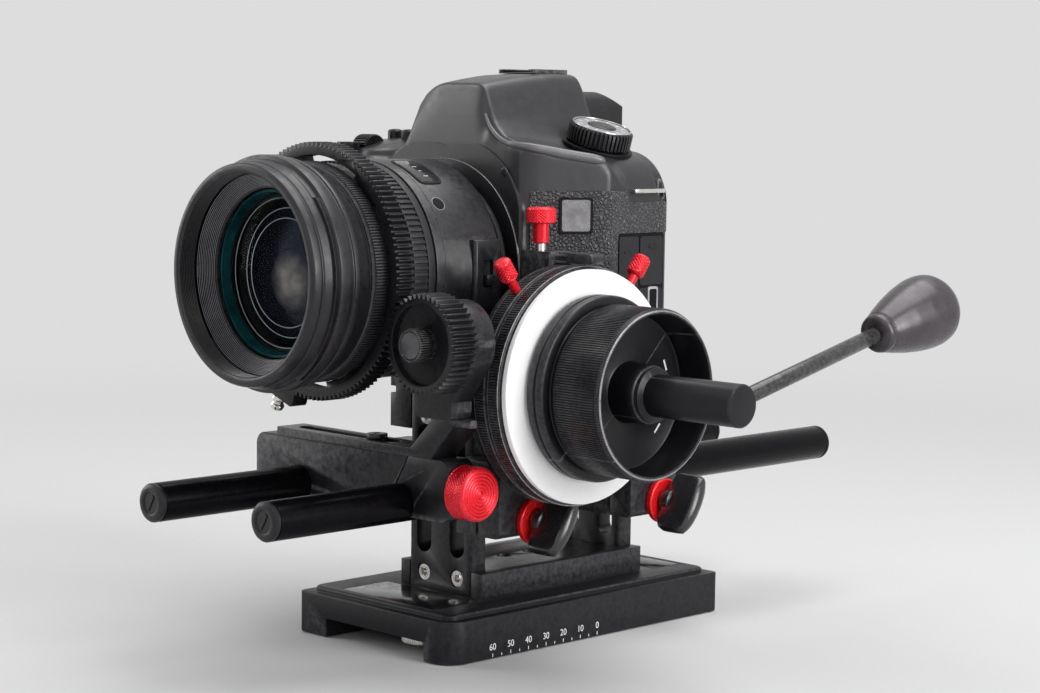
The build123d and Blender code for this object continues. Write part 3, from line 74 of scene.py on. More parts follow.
def make_camera():
    data = bpy.data.cameras.new("main_camera")
    data.lens = CAMERA_LENS
    data.sensor_width = 36.0
    data.clip_start = 0.05
    data.clip_end = 50.0
    forward = Vector((
        -sin(CAMERA_YAW) * cos(CAMERA_PITCH),
        cos(CAMERA_YAW) * cos(CAMERA_PITCH),
        -sin(CAMERA_PITCH),
    ))
    level = Vector((cos(CAMERA_YAW), sin(CAMERA_YAW), 0))
    above = level.cross(forward)
    right = level * cos(CAMERA_ROLL) + above * sin(CAMERA_ROLL)
    up = above * cos(CAMERA_ROLL) - level * sin(CAMERA_ROLL)
    turn = Matrix((right, up, -forward)).transposed()
    camera = bpy.data.objects.new("main_camera", data)
    camera.matrix_world = Matrix.Translation(CAMERA_PLACE) @ turn.to_4x4()
    bpy.context.scene.collection.objects.link(camera)
    bpy.context.scene.camera = camera


# ---------------------------------------------------------------- nodes and materials
class Nodes:
    """A material's node tree with short calls to add and link its nodes."""

    def __init__(self, name):
        self.material = bpy.data.materials.new(name)
        self.material.use_nodes = True
        self.tree = self.material.node_tree
        self.tree.nodes.clear()
        self.output = self.tree.nodes.new("ShaderNodeOutputMaterial")
        self.place = self.tree.nodes.new("ShaderNodeTexCoord").outputs["Object"]

    def add(self, kind, inputs=None, **settings):
        node = self.tree.nodes.new(kind)
        for key, value in settings.items():
            setattr(node, key, value)
        for key, value in (inputs or {}).items():
            self.feed(node.inputs[key], value)
        return node

    def feed(self, socket, value):
        if isinstance(value, bpy.types.NodeSocket):
            self.tree.links.new(value, socket)
        else:
            socket.default_value = value

    def noise(self, size_mm, detail=2.0, rough=0.5, stretch=None):
        """Noise with features of about the given size; stretch scales its axes."""
        place = self.place
        if stretch:
            place = self.add("ShaderNodeMapping", {"Vector": place, "Scale": stretch}).outputs[0]
        inputs = {"Vector": place, "Scale": 1 / (size_mm * MM), "Detail": detail, "Roughness": rough}
        return self.add("ShaderNodeTexNoise", inputs).outputs["Fac"]

    def spread(self, value, low, high, start=0.3, end=0.7):
        inputs = {"Value": value, "From Min": start, "From Max": end, "To Min": low, "To Max": high}
        return self.add("ShaderNodeMapRange", inputs).outputs["Result"]

    def blend(self, factor, first, second):
        node = self.add("ShaderNodeMix", data_type="RGBA")
        self.feed(node.inputs["Factor"], factor)
        self.feed(node.inputs[6], first)
        self.feed(node.inputs[7], second)
        return node.outputs[2]

    def maths(self, operation, first, second):
        node = self.add("ShaderNodeMath", operation=operation)
        self.feed(node.inputs[0], first)
        self.feed(node.inputs[1], second)
        return node.outputs[0]

    def bump(self, height, depth_mm, normal=None):
        inputs = {"Height": height, "Strength": 1.0, "Distance": depth_mm * MM}
        if normal is not None:
            inputs["Normal"] = normal
        return self.add("ShaderNodeBump", inputs).outputs["Normal"]

    def surface(self, shader):
        self.tree.links.new(shader, self.output.inputs["Surface"])


def shade(colour, factor):
    return tuple(min(1.0, c * factor) for c in colour[:3]) + (1.0,)


def finish(
    name, colour, rough, metallic=0.0, grain=0.35, depth=0.01, mottle=0.25, rough_spread=0.1,
    wear=None, wear_share=0.0, coat=0.0, brushed=None, specular=0.5,
):
    """A finish with mottled colour, uneven gloss, fine grain and, where stated, worn edges."""
    n = Nodes(name)
    cloud = n.spread(n.noise(9.0, 3.0), 0.0, 1.0)
    base = n.blend(cloud, shade(colour, 1 - mottle), shade(colour, 1 + mottle))
    if wear:
        edge = n.add("ShaderNodeNewGeometry").outputs["Pointiness"]
        worn = n.spread(edge, 0.0, wear_share, 0.515, 0.60)
        patchy = n.spread(n.noise(2.2, 4.0, 0.65), 0.15, 1.0, 0.35, 0.62)
        base = n.blend(n.maths("MULTIPLY", worn, patchy), base, shade(wear, 1.0))
    gloss = n.spread(n.noise(3.0, 4.0, 0.6), rough - rough_spread, rough + rough_spread)
    fine = n.noise(grain, 2.0, 0.6, brushed)
    shader = n.add("ShaderNodeBsdfPrincipled", {
        "Base Color": base,
        "Roughness": gloss,
        "Metallic": metallic,
        "Normal": n.bump(fine, depth),
        "Coat Weight": coat,
        "Coat Roughness": 0.12,
        "Specular IOR Level": specular,
    })
    n.surface(shader.outputs[0])
    return n.material


def leatherette(name, colour, rough):
    """Pebbled leatherette: raised cells between fine creases, the creases painted darker than the cell
    tops: painted shade in the creases.
    """
    n = Nodes(name)
    wander = n.add("ShaderNodeTexNoise", {
        "Vector": n.place, "Scale": 900.0, "Detail": 2.0,
    }).outputs["Color"]
    shift = n.add("ShaderNodeVectorMath", operation="SCALE")
    n.feed(shift.inputs[0], wander)
    shift.inputs["Scale"].default_value = 0.0009
    moved = n.add("ShaderNodeVectorMath", operation="ADD")
    n.feed(moved.inputs[0], n.place)
    n.feed(moved.inputs[1], shift.outputs[0])
    cells = n.add("ShaderNodeTexVoronoi", {
        "Vector": moved.outputs[0], "Scale": 640.0, "Randomness": 1.0,
    }, feature="DISTANCE_TO_EDGE").outputs["Distance"]
    pebble = n.spread(cells, 0.0, 1.0, 0.0, 0.28)
    # painted shade: darker towards the creases between the cells, lighter on their tops
    tone = n.blend(pebble, shade(colour, 0.35), shade(colour, 1.35))
    gloss = n.spread(n.noise(6.0, 3.0), rough - 0.08, rough + 0.1)
    normal = n.bump(n.noise(0.25, 2.0), 0.02)
    normal = n.bump(pebble, 0.34, normal)
    shader = n.add("ShaderNodeBsdfPrincipled", {
        "Base Color": tone, "Roughness": gloss, "Normal": normal, "Specular IOR Level": 0.70,
    })
    n.surface(shader.outputs[0])
    return n.material


def coated_glass(name, tint):
    """Lens glass whose coating leaves a weak green-blue reflection."""
    n = Nodes(name)
    tone = n.blend(n.spread(n.noise(20.0, 1.0), 0.0, 1.0), shade(tint, 0.97), shade(tint, 1.0))
    shader = n.add("ShaderNodeBsdfPrincipled", {
        "Base Color": tone,
        "Roughness": 0.0,
        "IOR": 1.06,
        "Transmission Weight": 1.0,
        "Specular Tint": (0.12, 0.30, 0.33, 1.0),
    })
    n.surface(shader.outputs[0])
    return n.material


def coating(name, colour, tint, level):
    """The coated face of an inner lens element, dark with a tinted reflection; a pale or tinted colour
    given here is a painted reflection, as on the front element's edge wall (teal) and the deepest element
    (pale amber).
    """
    n = Nodes(name)
    tone = n.blend(n.spread(n.noise(7.0, 2.0), 0.0, 1.0), shade(colour, 0.6), shade(colour, 1.5))
    shader = n.add("ShaderNodeBsdfPrincipled", {
        "Base Color": tone,
        "Roughness": n.spread(n.noise(9.0, 1.0), 0.24, 0.27),
        "Specular IOR Level": level,
        "Specular Tint": (*tint, 1.0),
    })
    n.surface(shader.outputs[0])
    return n.material


def coating_with_painted_reflection(name, colour, glow, spot, reach):
    """A coated face with a pale patch painted round a fixed spot: a painted reflection, a hazy bright spot
    of light on the element.
    """
    n = Nodes(name)
    away = n.add("ShaderNodeVectorMath", operation="DISTANCE")
    n.feed(away.inputs[0], n.place)
    away.inputs[1].default_value = spot
    painted_reflection_mask = n.add("ShaderNodeMapRange", {
        "Value": away.outputs["Value"], "From Min": reach * 0.1, "From Max": reach,
        "To Min": 1.0, "To Max": 0.0,
    }, interpolation_type="SMOOTHSTEP").outputs["Result"]
    # the pale glow colour is laid on patchily near the spot: the painted reflection
    patchy = n.maths("MULTIPLY", painted_reflection_mask, n.spread(n.noise(5.0, 2.0), 0.45, 1.0))
    tone = n.blend(patchy, (*colour, 1.0), (*glow, 1.0))
    shader = n.add("ShaderNodeBsdfPrincipled", {
        "Base Color": tone, "Roughness": 0.2, "Specular IOR Level": 0.2,
        "Specular Tint": (0.55, 0.50, 0.95, 1.0),
    })
    n.surface(shader.outputs[0])
    return n.material


BLACK = (0.0060, 0.0056, 0.0080)
RED = (0.80, 0.008, 0.022)

# the centre of the painted reflection, a pale patch, on the second lens element
PAINTED_REFLECTION_SPOT = (0.0020, -0.1215, 0.1490)

materials = {
    "black_anodised": finish(
        "black_anodised", BLACK, 0.33, grain=0.16, depth=0.010, mottle=0.12, specular=0.30,
        rough_spread=0.04,
        wear=(0.26, 0.26, 0.27), wear_share=0.40),
    "black_rods": finish(
        "black_rods", (0.0025, 0.0025, 0.0035), 0.24, grain=0.12, depth=0.003, mottle=0.2,
        rough_spread=0.05, brushed=(1.0, 0.04, 1.0), specular=0.08),
    "black_cast": finish(
        "black_cast", (0.0075, 0.0072, 0.0095), 0.40, grain=0.42, depth=0.05, mottle=0.15,
        rough_spread=0.04, specular=0.22, wear=(0.15, 0.15, 0.16), wear_share=0.40),
    "red_anodised": finish(
        "red_anodised", RED, 0.30, metallic=0.45, grain=0.15, depth=0.006, mottle=0.10,
        wear=(0.98, 0.24, 0.30), wear_share=0.45),
    "steel": finish(
        "steel", (0.72, 0.70, 0.67), 0.22, metallic=1.0, grain=0.12, depth=0.004, mottle=0.1),
    "dark_steel": finish(
        "dark_steel", (0.014, 0.014, 0.016), 0.24, metallic=0.2, grain=0.14, depth=0.004,
        mottle=0.08, rough_spread=0.05, wear=(0.35, 0.35, 0.35), wear_share=0.4),
    "brass": finish(
        "brass", (0.66, 0.47, 0.22), 0.28, metallic=1.0, grain=0.12, depth=0.004, mottle=0.12),
    "black_plastic": finish(
        "black_plastic", (0.0085, 0.0085, 0.0105), 0.34, grain=0.22, depth=0.012, mottle=0.2,
        specular=0.36),
    "satin_plastic": finish(
        "satin_plastic", (0.062, 0.054, 0.060), 0.30, metallic=0.35, grain=0.22, depth=0.008,
        mottle=0.12, rough_spread=0.06),
    "white_plastic": finish(
        "white_plastic", (0.93, 0.93, 0.93), 0.45, grain=0.5, depth=0.004, mottle=0.02,
        rough_spread=0.08),
    "lens_paint": finish(
        "lens_paint", (0.0095, 0.0095, 0.0120), 0.34, grain=0.14, depth=0.010, mottle=0.15,
        specular=0.40, wear=(0.14, 0.14, 0.15), wear_share=0.4),
    "lens_rubber": finish(
        "lens_rubber", (0.012, 0.012, 0.014), 0.48, grain=0.3, depth=0.012, mottle=0.25,
        rough_spread=0.10, specular=0.36, wear=(0.06, 0.06, 0.065), wear_share=0.4),
    "camera_shell": finish(
        "camera_shell", (0.0135, 0.013, 0.016), 0.36, grain=0.20, depth=0.012, mottle=0.12,
        rough_spread=0.06, specular=0.62),
    "black_rubber": finish(
        "black_rubber", (0.010, 0.010, 0.012), 0.52, grain=0.28, depth=0.02, mottle=0.25,
        rough_spread=0.12, specular=0.36),
    "screen_glass": finish(
        "screen_glass", (0.004, 0.004, 0.006), 0.07, grain=6.0, depth=0.002, mottle=0.1,
        rough_spread=0.03, coat=0.4),
    "mirror_silver": finish(
        "mirror_silver", (0.88, 0.88, 0.88), 0.04, metallic=1.0, grain=5.0, depth=0.001,
        mottle=0.03, rough_spread=0.02),
    "pad_gloss": finish(
        "pad_gloss", (0.010, 0.009, 0.011), 0.14, grain=2.6, depth=0.02, mottle=0.6,
        rough_spread=0.09, specular=0.45),
    "lens_glass": coated_glass("lens_glass", (0.90, 0.96, 0.96)),
}
leather = leatherette("leatherette", (0.030, 0.029, 0.034), 0.36)
wing_gloss = finish(
    "wing_gloss", (0.020, 0.020, 0.022), 0.24, grain=0.3, depth=0.006, mottle=0.15,
    rough_spread=0.05, specular=0.7)
# a lighter copy of the shell's finish for the crease: a painted highlight
crease_painted_highlight = finish(
    "crease_painted_highlight", (0.12, 0.118, 0.125), 0.32, grain=0.2, depth=0.008, mottle=0.12,
    rough_spread=0.05, specular=0.6)
white_paint = finish(
    "white_paint", (0.86, 0.86, 0.85), 0.5, grain=0.3, depth=0.004, mottle=0.05)
red_gloss = finish(
    "red_gloss", (0.90, 0.012, 0.016), 0.24, metallic=0.25, grain=0.3, depth=0.004, mottle=0.06)
grey_face = finish(
    "grey_face", (0.11, 0.105, 0.115), 0.36, metallic=0.4, grain=0.25, depth=0.03, mottle=0.5)
edge_bright = finish(
    "bright_edge", (0.34, 0.33, 0.34), 0.30, metallic=0.7, grain=0.15, depth=0.006, mottle=0.2)
rim_bright = finish(
    "bright_rim", (0.62, 0.61, 0.61), 0.28, metallic=0.9, grain=0.15, depth=0.004, mottle=0.1)
dial_top = finish(
    "dial_top", (0.27, 0.26, 0.27), 0.34, grain=0.2, depth=0.008, mottle=0.15)
inner_black = finish(
    "inner_black", (0.0025, 0.0025, 0.0035), 0.5, grain=0.3, depth=0.01, mottle=0.3,
    specular=0.15)
# grey for the lens baffle ridges and edges, where it is a painted highlight, and for the port socket's
# frame
ridge_highlight_and_socket_grey = finish(
    "ridge_highlight_and_socket_grey", (0.40, 0.39, 0.42), 0.34, grain=0.2, depth=0.004, mottle=0.15)
badge_grey = finish(
    "badge_grey", (0.24, 0.235, 0.245), 0.26, metallic=0.5, grain=0.3, depth=0.004, mottle=0.2)
element_teal = coating("element_teal", (0.0035, 0.010, 0.012), (0.20, 0.75, 0.80), 0.20)
# teal base colour: a painted reflection, the teal crescent inside the front element's edge
edge_teal = coating("edge_teal", (0.006, 0.050, 0.056), (0.20, 0.75, 0.80), 0.30)
# pale amber base colour: a painted reflection, light seen deep in the lens
element_amber = coating("element_amber", (0.075, 0.060, 0.055), (1.0, 0.80, 0.65), 0.50)
# the second element carries a painted reflection: a pale patch round a fixed spot
element_violet = coating_with_painted_reflection(
    "element_violet", (0.004, 0.004, 0.008), (0.34, 0.28, 0.25), PAINTED_REFLECTION_SPOT, 0.013)


# ---------------------------------------------------------------- mesh helpers
def box_mm(node):
    low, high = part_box(node)
    return low / MM, high / MM


def middle(node):
    low, high = box_mm(node)
    return (low + high) / 2


def extent(node):
    """A node's lowest and highest corners and its middle."""
    return *box_mm(node), middle(node)


def place_x(y, z):
    """A turned piece's axis along X at (y, z), its stations being X."""
    return Matrix(((0, 0, 1, 0), (1, 0, 0, y), (0, 1, 0, z), (0, 0, 0, 1)))


def place_y(x, z):
    return Matrix(((0, 1, 0, x), (0, 0, 1, 0), (1, 0, 0, z), (0, 0, 0, 1)))


def place_z(x, y):
    return Matrix.Translation((x, y, 0))


def piece(name, vertices, faces, body, slot, material=None, replaces=(), angle=SMOOTH_ANGLE):
    """A named piece from vertices in millimetres, riding on a body."""
    mesh = bpy.data.meshes.new(name)
    mesh.from_pydata([tuple(Vector(v) * MM) for v in vertices], [], faces)
    return dress(mesh, name, body, slot, material, replaces, angle)


def dress(mesh, name, body, slot, material=None, replaces=(), angle=SMOOTH_ANGLE):
    """Tidy a mesh's normals and shading and make it a piece of the object."""
    build = bmesh.new()
    build.from_mesh(mesh)
    bmesh.ops.recalc_face_normals(build, faces=build.faces)
    build.to_mesh(mesh)
    build.free()
    mesh.materials.clear()
    mesh.materials.append(material or materials[slot])
    mesh.polygons.foreach_set("use_smooth", [True] * len(mesh.polygons))
    mesh.set_sharp_from_angle(angle=angle)
    made = bpy.data.objects.new(name, mesh)
    bpy.context.scene.collection.objects.link(made)
    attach(made, body)
    if replaces:
        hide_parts(*replaces)
    return made


def soften(rows, radius, steps=3, ring=False):
    """Round the corners of a turned outline given as (station, radius, relief) rows."""
    rows = [tuple(row) + (0.0,) * (3 - len(row)) for row in rows]
    made = []
    count = len(rows)
    for n, row in enumerate(rows):
        if not ring and n in (0, count - 1):
            made.append(row)
            continue
        before = rows[n - 1]
        after = rows[(n + 1) % count]
        here = Vector(row[:2])
        back = Vector(before[:2]) - here
        ahead = Vector(after[:2]) - here
        reach = min(radius, back.length * 0.45, ahead.length * 0.45)
        if reach < 0.02 or back.angle(ahead, pi) > pi - 0.12:
            made.append(row)
            continue
        first = here + back.normalized() * reach
        last = here + ahead.normalized() * reach
        for step in range(steps + 1):
            t = step / steps
            point = first * (1 - t) ** 2 + here * 2 * t * (1 - t) + last * t**2
            made.append((point.x, point.y, row[2]))
    return made


def plain(count=128):
    return [(2 * pi * n / count, 0.0) for n in range(count)]


def ribs(count, raised=0.42, flank=0.12):
    """Angles round a ribbed edge with the depth at each: 0 on a rib and 1 in a groove."""
    marks = ((0.0, 0.0), (raised, 0.0), (raised + flank, 1.0), (1 - flank, 1.0))
    return [(2 * pi * (n + at) / count, level) for n in range(count) for at, level in marks]


def diamonds(count, pitch):
    """Angles round a diamond knurl; the depth of each point depends on its station too."""

    def depth(turns):
        def at(station):
            crossing = [abs(2 * (v % 1.0) - 1) for v in (turns + station / pitch, turns - station / pitch)]
            return max(crossing)
        return at

    return [(2 * pi * n / (4 * count), depth(n / 4)) for n in range(4 * count)]


def knurled_rows(start, end, radius, relief, pitch):
    steps = max(4, round((end - start) / pitch * 4))
    return [(start + (end - start) * n / steps, radius, relief) for n in range(steps + 1)]


def turned(rows, place, spokes=None, ring=False, shape=None):
    """Vertices and faces of a turned form from (station, radius, relief) rows along local Z."""
    spokes = spokes or plain()
    vertices, faces, loops = [], [], []
    for row in rows:
        station, radius = row[0], row[1]
        relief = row[2] if len(row) > 2 else 0.0
        if radius < 1e-6:
            loops.append([len(vertices)])
            vertices.append(place @ Vector((0, 0, station)))
            continue
        loop = []
        for angle, level in spokes:
            depth = level(station) if callable(level) else level
            reach = radius - relief * depth
            if shape:
                reach = shape(angle, station, reach)
            loop.append(len(vertices))
            vertices.append(place @ Vector((reach * cos(angle), reach * sin(angle), station)))
        loops.append(loop)
    pairs = list(zip(loops, loops[1:]))
    if ring:
        pairs.append((loops[-1], loops[0]))
    for low, high in pairs:
        faces += bridge(low, high)
    return vertices, faces


def bridge(low, high):
    if len(low) == 1 and len(high) == 1:
        return []
    count = max(len(low), len(high))
    faces = []
    for n in range(count):
        m = (n + 1) % count
        if len(low) == 1:
            faces.append((low[0], high[m], high[n]))
        elif len(high) == 1:
            faces.append((low[n], low[m], high[0]))
        else:
            faces.append((low[n], low[m], high[m], high[n]))
    return faces


def add_loop(vertices, points):
    """Add points to the vertices and give their numbers."""
    first = len(vertices)
    vertices += points
    return list(range(first, len(vertices)))


def skin(loops):
    """Faces from loop to loop, with both ends closed."""
    faces = []
    for low, high in zip(loops, loops[1:]):
        faces += bridge(low, high)
    return faces + [tuple(reversed(loops[0])), tuple(loops[-1])]


def turned_piece(name, rows, place, body, slot, spokes=None, ring=False, shape=None, **more):
    vertices, faces = turned(rows, place, spokes, ring, shape)
    return piece(name, vertices, faces, body, slot, **more)


def join_parts(parts):
    """One list of vertices and faces from several."""
    vertices, faces = [], []
    for some_vertices, some_faces in parts:
        base = len(vertices)
        vertices += some_vertices
        faces += [tuple(base + v for v in face) for face in some_faces]
    return vertices, faces


def joined(name, parts, *about, **more):
    """One piece from several forms."""
    return piece(name, *join_parts(parts), *about, **more)


def apply_modifiers(made):
    graph = bpy.context.evaluated_depsgraph_get()
    mesh = bpy.data.meshes.new_from_object(made.evaluated_get(graph))
    made.modifiers.clear()
    made.data = mesh
    return mesh


def welded_copy(node):
    """A copy of a CAD node's mesh with its points welded and its flat faces whole."""
    mesh = frame["nodes"][node].data.copy()
    if mesh.has_custom_normals:
        mesh.attributes.remove(mesh.attributes["custom_normal"])
    build = bmesh.new()
    build.from_mesh(mesh)
    bmesh.ops.remove_doubles(build, verts=build.verts, dist=2e-6)
    bmesh.ops.dissolve_limit(
        build, angle_limit=radians(0.6), verts=build.verts, edges=build.edges)
    build.to_mesh(mesh)
    build.free()
    return mesh


def refine(node, width=0.3, slot=None, material=None, segments=2, limit=34):
    """Stand a copy with small rounded edges in for a CAD node."""
    body = frame["nodes"][node]["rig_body"]
    slot = slot or frame["nodes"][node].data.materials[0].name.split(".")[0]
    made = dress(welded_copy(node), node + "_edged", body, slot, material, (node,))
    bevel = made.modifiers.new("edges", "BEVEL")
    bevel.width = width * MM
    bevel.segments = segments
    bevel.limit_method = "ANGLE"
    bevel.angle_limit = radians(limit)
    bevel.miter_outer = "MITER_ARC"
    bevel.use_clamp_overlap = True
    mesh = apply_modifiers(made)
    mesh.polygons.foreach_set("use_smooth", [True] * len(mesh.polygons))
    mesh.set_sharp_from_angle(angle=SMOOTH_ANGLE)
    return made


def refine_all(*edges):
    """Round the edges of CAD nodes given as (node, width, segments)."""
    for node, width, segments in edges:
        refine(node, width, segments=segments)


def flat_bar(start, end, width, thick, normal):
    """A thin raised strip from start to end, as vertices and faces."""
    start, end, normal = Vector(start), Vector(end), Vector(normal).normalized()
    side = (end - start).normalized().cross(normal) * width / 2
    corners = [start - side, start + side, end + side, end - side]
    vertices = corners + [c + normal * thick for c in corners]
    faces = [(0, 1, 2, 3), (7, 6, 5, 4), (0, 4, 5, 1), (1, 5, 6, 2), (2, 6, 7, 3), (3, 7, 4, 0)]
    return vertices, faces


# ---------------------------------------------------------------- rod support and plate
def make_support():
    refine_all(
        ("base_plate", 0.35, 2), ("front_riser", 0.35, 2), ("rear_riser", 0.35, 2),
        ("rod_clamps", 0.35, 2), ("camera_platform", 0.35, 2), ("riser_screws", 0.18, 1),
        ("camera_screw", 0.3, 2), ("ff_bracket", 0.5, 3), ("ff_arm", 0.4, 3),
        ("arm_screw", 0.2, 2), ("gearbox_housing", 0.45, 3))
    refine("index_pointer", 0.25, material=materials["black_anodised"])
    low, high = box_mm("index_pointer")
    fork = []
    for z in (high.z - 3.4, high.z - 0.9):
        fork.append(flat_bar((low.x - 1.5, low.y - 0.3, z), (low.x + 5.5, low.y - 0.3, z), 0.9, 1.2,
                             (0, -1, 0)))
    fork.append(flat_bar((low.x - 1.2, low.y - 0.3, high.z - 3.6),
                         (low.x - 1.2, low.y - 0.3, high.z - 0.6), 1.2, 1.2, (0, -1, 0)))
    joined("index_pointer_fork", fork, "arm", "steel")


def make_plate():
    plate = refine("tripod_plate", 0.7, segments=3)
    plate.name = "tripod_plate_cast"
    refine("plate_pads", 0.12)
    scale_x = box_mm("tripod_plate")[1].x
    parts = []
    outward = (1, 0, 0)
    for tick in range(PLATE_TICKS):
        y = PLATE_ZERO_Y - PLATE_TICK_STEP * tick
        top = 2.0 if tick % 2 == 0 else 1.6
        parts.append(flat_bar((scale_x, y, 0.6), (scale_x, y, top), 0.34, 0.05, outward))
    joined("plate_scale_ticks", parts, "rig", "white_plastic", white_paint)
    for n in range(PLATE_TICKS // 2 + 1):
        text = bpy.data.curves.new(f"plate_number_{n}", "FONT")
        text.body = str(10 * n)
        text.size = 3.75 * MM
        text.align_x = "CENTER"
        text.align_y = "BOTTOM"
        text.extrude = 0.03 * MM
        holder = bpy.data.objects.new(f"plate_number_{n}", text)
        bpy.context.scene.collection.objects.link(holder)
        holder.matrix_world = Matrix((
            (0, 0, 1, scale_x * MM),
            (1, 0, 0, (PLATE_ZERO_Y - 2 * PLATE_TICK_STEP * n) * MM),
            (0, 1, 0, 2.6 * MM),
            (0, 0, 0, 1),
        ))
        graph = bpy.context.evaluated_depsgraph_get()
        mesh = bpy.data.meshes.new_from_object(holder.evaluated_get(graph))
        mesh.transform(holder.matrix_world)
        bpy.data.objects.remove(holder)
        dress(mesh, f"plate_number_{n}", "rig", "white_plastic", white_paint)
    make_plate_wheels()


PLATE_ZERO_Y = 3.8
PLATE_TICKS = 13
PLATE_TICK_STEP = 5.0


def make_plate_wheels():
    """The knurled wheels of the two plate screws."""
    screws = []
    for x, y, radius, top in (
        (0.0, -7.3, 11.0, 26.5), (17.0, -69.5, 8.0, 14.5),
    ):
        rows = [(4.5, 0.0), (4.5, radius * 0.45), (4.9, radius * 0.5), (4.9, radius - 1.4),
                (4.5, radius - 1.0), (4.5, radius - 0.4), (4.9, radius, 0.35), (7.1, radius, 0.35),
                (7.5, radius - 0.4), (7.5, 3.17), (top, 3.17), (top, 0.0)]
        screws.append(turned(rows, place_z(x, y), ribs(round(radius * 6))))
    joined("plate_screw_wheels", screws, "rig", "steel", replaces=("plate_screws",))


def make_rods():
    for side in ("right", "left"):
        node = side + "_rod"
        low, high, centre = extent(node)
        place = place_y(centre.x, centre.z)
        radius = (high.x - low.x) / 2
        tube = soften([
            (low.y + 3.0, radius - 1.5), (low.y + 3.0, radius), (high.y - 3.0, radius),
            (high.y - 3.0, radius - 1.5),
        ], 0.3, ring=True)
        turned_piece(node + "_tube", tube, place, node, "black_rods", ring=True, replaces=(node,))
        for end, inward in ((low.y, 1), (high.y, -1)):
            rows = [(0.55, 0.0), (0.55, radius - 3.4), (0.15, radius - 3.1), (0.0, radius - 2.6),
                    (0.0, radius - 1.5), (0.45, radius - 0.5), (1.2, radius), (2.1, radius),
                    (2.25, radius - 0.4), (2.95, radius - 0.4), (2.95, radius - 1.6),
                    (9.0, radius - 1.7), (9.0, 0.0)]
            rows = [(end + inward * s, r) for s, r in rows]
            name = node + ("_front_cap" if inward > 0 else "_rear_cap")
            turned_piece(name, rows, place, node, "black_plastic")
            slot_centre = Vector((centre.x, end + inward * 0.55, centre.z))
            lean = Vector((0.5, 0, 0.87)) * (radius - 4.2)
            vertices, faces = flat_bar(
                slot_centre - lean, slot_centre + lean, 1.1, 0.35, (0, -inward, 0))
            piece(name + "_rib", vertices, faces, node, "black_plastic")


# ---------------------------------------------------------------- knobs and red screws
WING_TILT = radians(-31)
WASHER = 9.4


def make_wing_knobs():
    for end in ("front", "rear"):
        for side_name, side in (("right", 1), ("left", -1)):
            node = f"wing_knob_{end}_{side_name}"
            low, high, centre = extent(node)
            start = low.x if side > 0 else -high.x
            outer = high.x if side > 0 else -low.x
            vertices, faces = wing_form(start, outer)
            place = Matrix.Translation((0, centre.y, centre.z)) @ Matrix.Rotation(WING_TILT, 4, "X")
            vertices = [place @ Vector(v) for v in vertices]
            if side < 0:
                vertices = [Vector((-v.x, v.y, v.z)) for v in vertices]
            body = f"wing_{end}_{side_name}"
            piece(f"{node}_moulded", vertices, faces, body, "black_plastic", wing_gloss,
                  replaces=(node,), angle=radians(38))
    low, high = box_mm("clamp_washers")
    washers = []
    for node in ("wing_knob_front_right", "wing_knob_rear_right"):
        centre = middle(node)
        cup = soften([(0.0, 3.0), (0.0, WASHER - 0.5), (0.5, WASHER), (2.5, WASHER), (3.0, WASHER - 0.6),
                      (2.9, WASHER - 2.6), (2.5, 5.4), (2.5, 3.0)], 0.3, ring=True)
        for side in (1, -1):
            rows = [(side * (high.x - 3.0 + row[0]), row[1]) for row in cup]
            washers.append(turned(rows, place_x(centre.y, centre.z), plain(72), ring=True))
    joined("clamp_washers_cupped", washers, "rig", "red_anodised", red_gloss,
           replaces=("clamp_washers",))


def wing_form(start, outer):
    """A thick leaf-shaped wing on a short round hub, its axis along X."""
    stud = [(start, 0.0), (start, 2.5), (start + 24.0, 2.5), (start + 24.0, 0.0)]
    hub_start = outer - 18.2
    hub = soften([(hub_start, 0.0), (hub_start, 4.6), (hub_start + 0.5, 5.2),
                  (hub_start + 4.5, 5.0), (hub_start + 6.0, 0.0)], 0.4)
    parts = [turned(stud, place_x(0, 0), plain(24)), turned(hub, place_x(0, 0), plain(40))]
    half = 12.95
    slices = 40
    vertices, loops = [], []
    for n in range(slices + 1):
        u = -1 + 2 * n / slices
        w = abs(u)
        end = sqrt(max(0.0, 1 - max(0.0, (w - 0.88) / 0.12) ** 2))
        inner = hub_start + 1.4 + 1.6 * w**4 + 1.2 * (1 - end)
        leaf = 3.55 * (1 - w**2.4) ** 0.55
        back = 3.4 - 0.5 * w**2
        reach = outer - 0.15 - 2.6 * w**2.2 - 1.6 * (1 - end)
        crown = 0.6 + 1.2 * (1 - w**2)
        ridge = max(0.35, leaf) * (0.25 + 0.75 * end)
        wide = back * (0.30 + 0.70 * end)
        mid = inner + (reach - inner) * 0.55
        outline = [
            (inner, -wide + 1.0), (inner + 0.3, -wide + 0.3), (inner + 1.2, -wide), (mid, -wide),
            (reach - crown - 1.0, -max(ridge, wide * 0.80) - 0.05), (reach - crown - 0.25, -ridge),
            (reach - crown + 0.35, -ridge + 0.45), (reach - crown * 0.35, -ridge * 0.55),
            (reach, 0.0),
        ]
        outline += [(x, -y) for x, y in reversed(outline[:-1])]
        loops.append(add_loop(vertices, [Vector((x, y, u * half)) for x, y in outline]))
    parts.append((vertices, skin(loops)))
    return join_parts(parts)


def axis_place(origin, direction):
    """A turned piece's axis from origin along direction."""
    return Matrix.Translation(origin) @ Vector(direction).to_track_quat("Z", "Y").to_matrix().to_4x4()


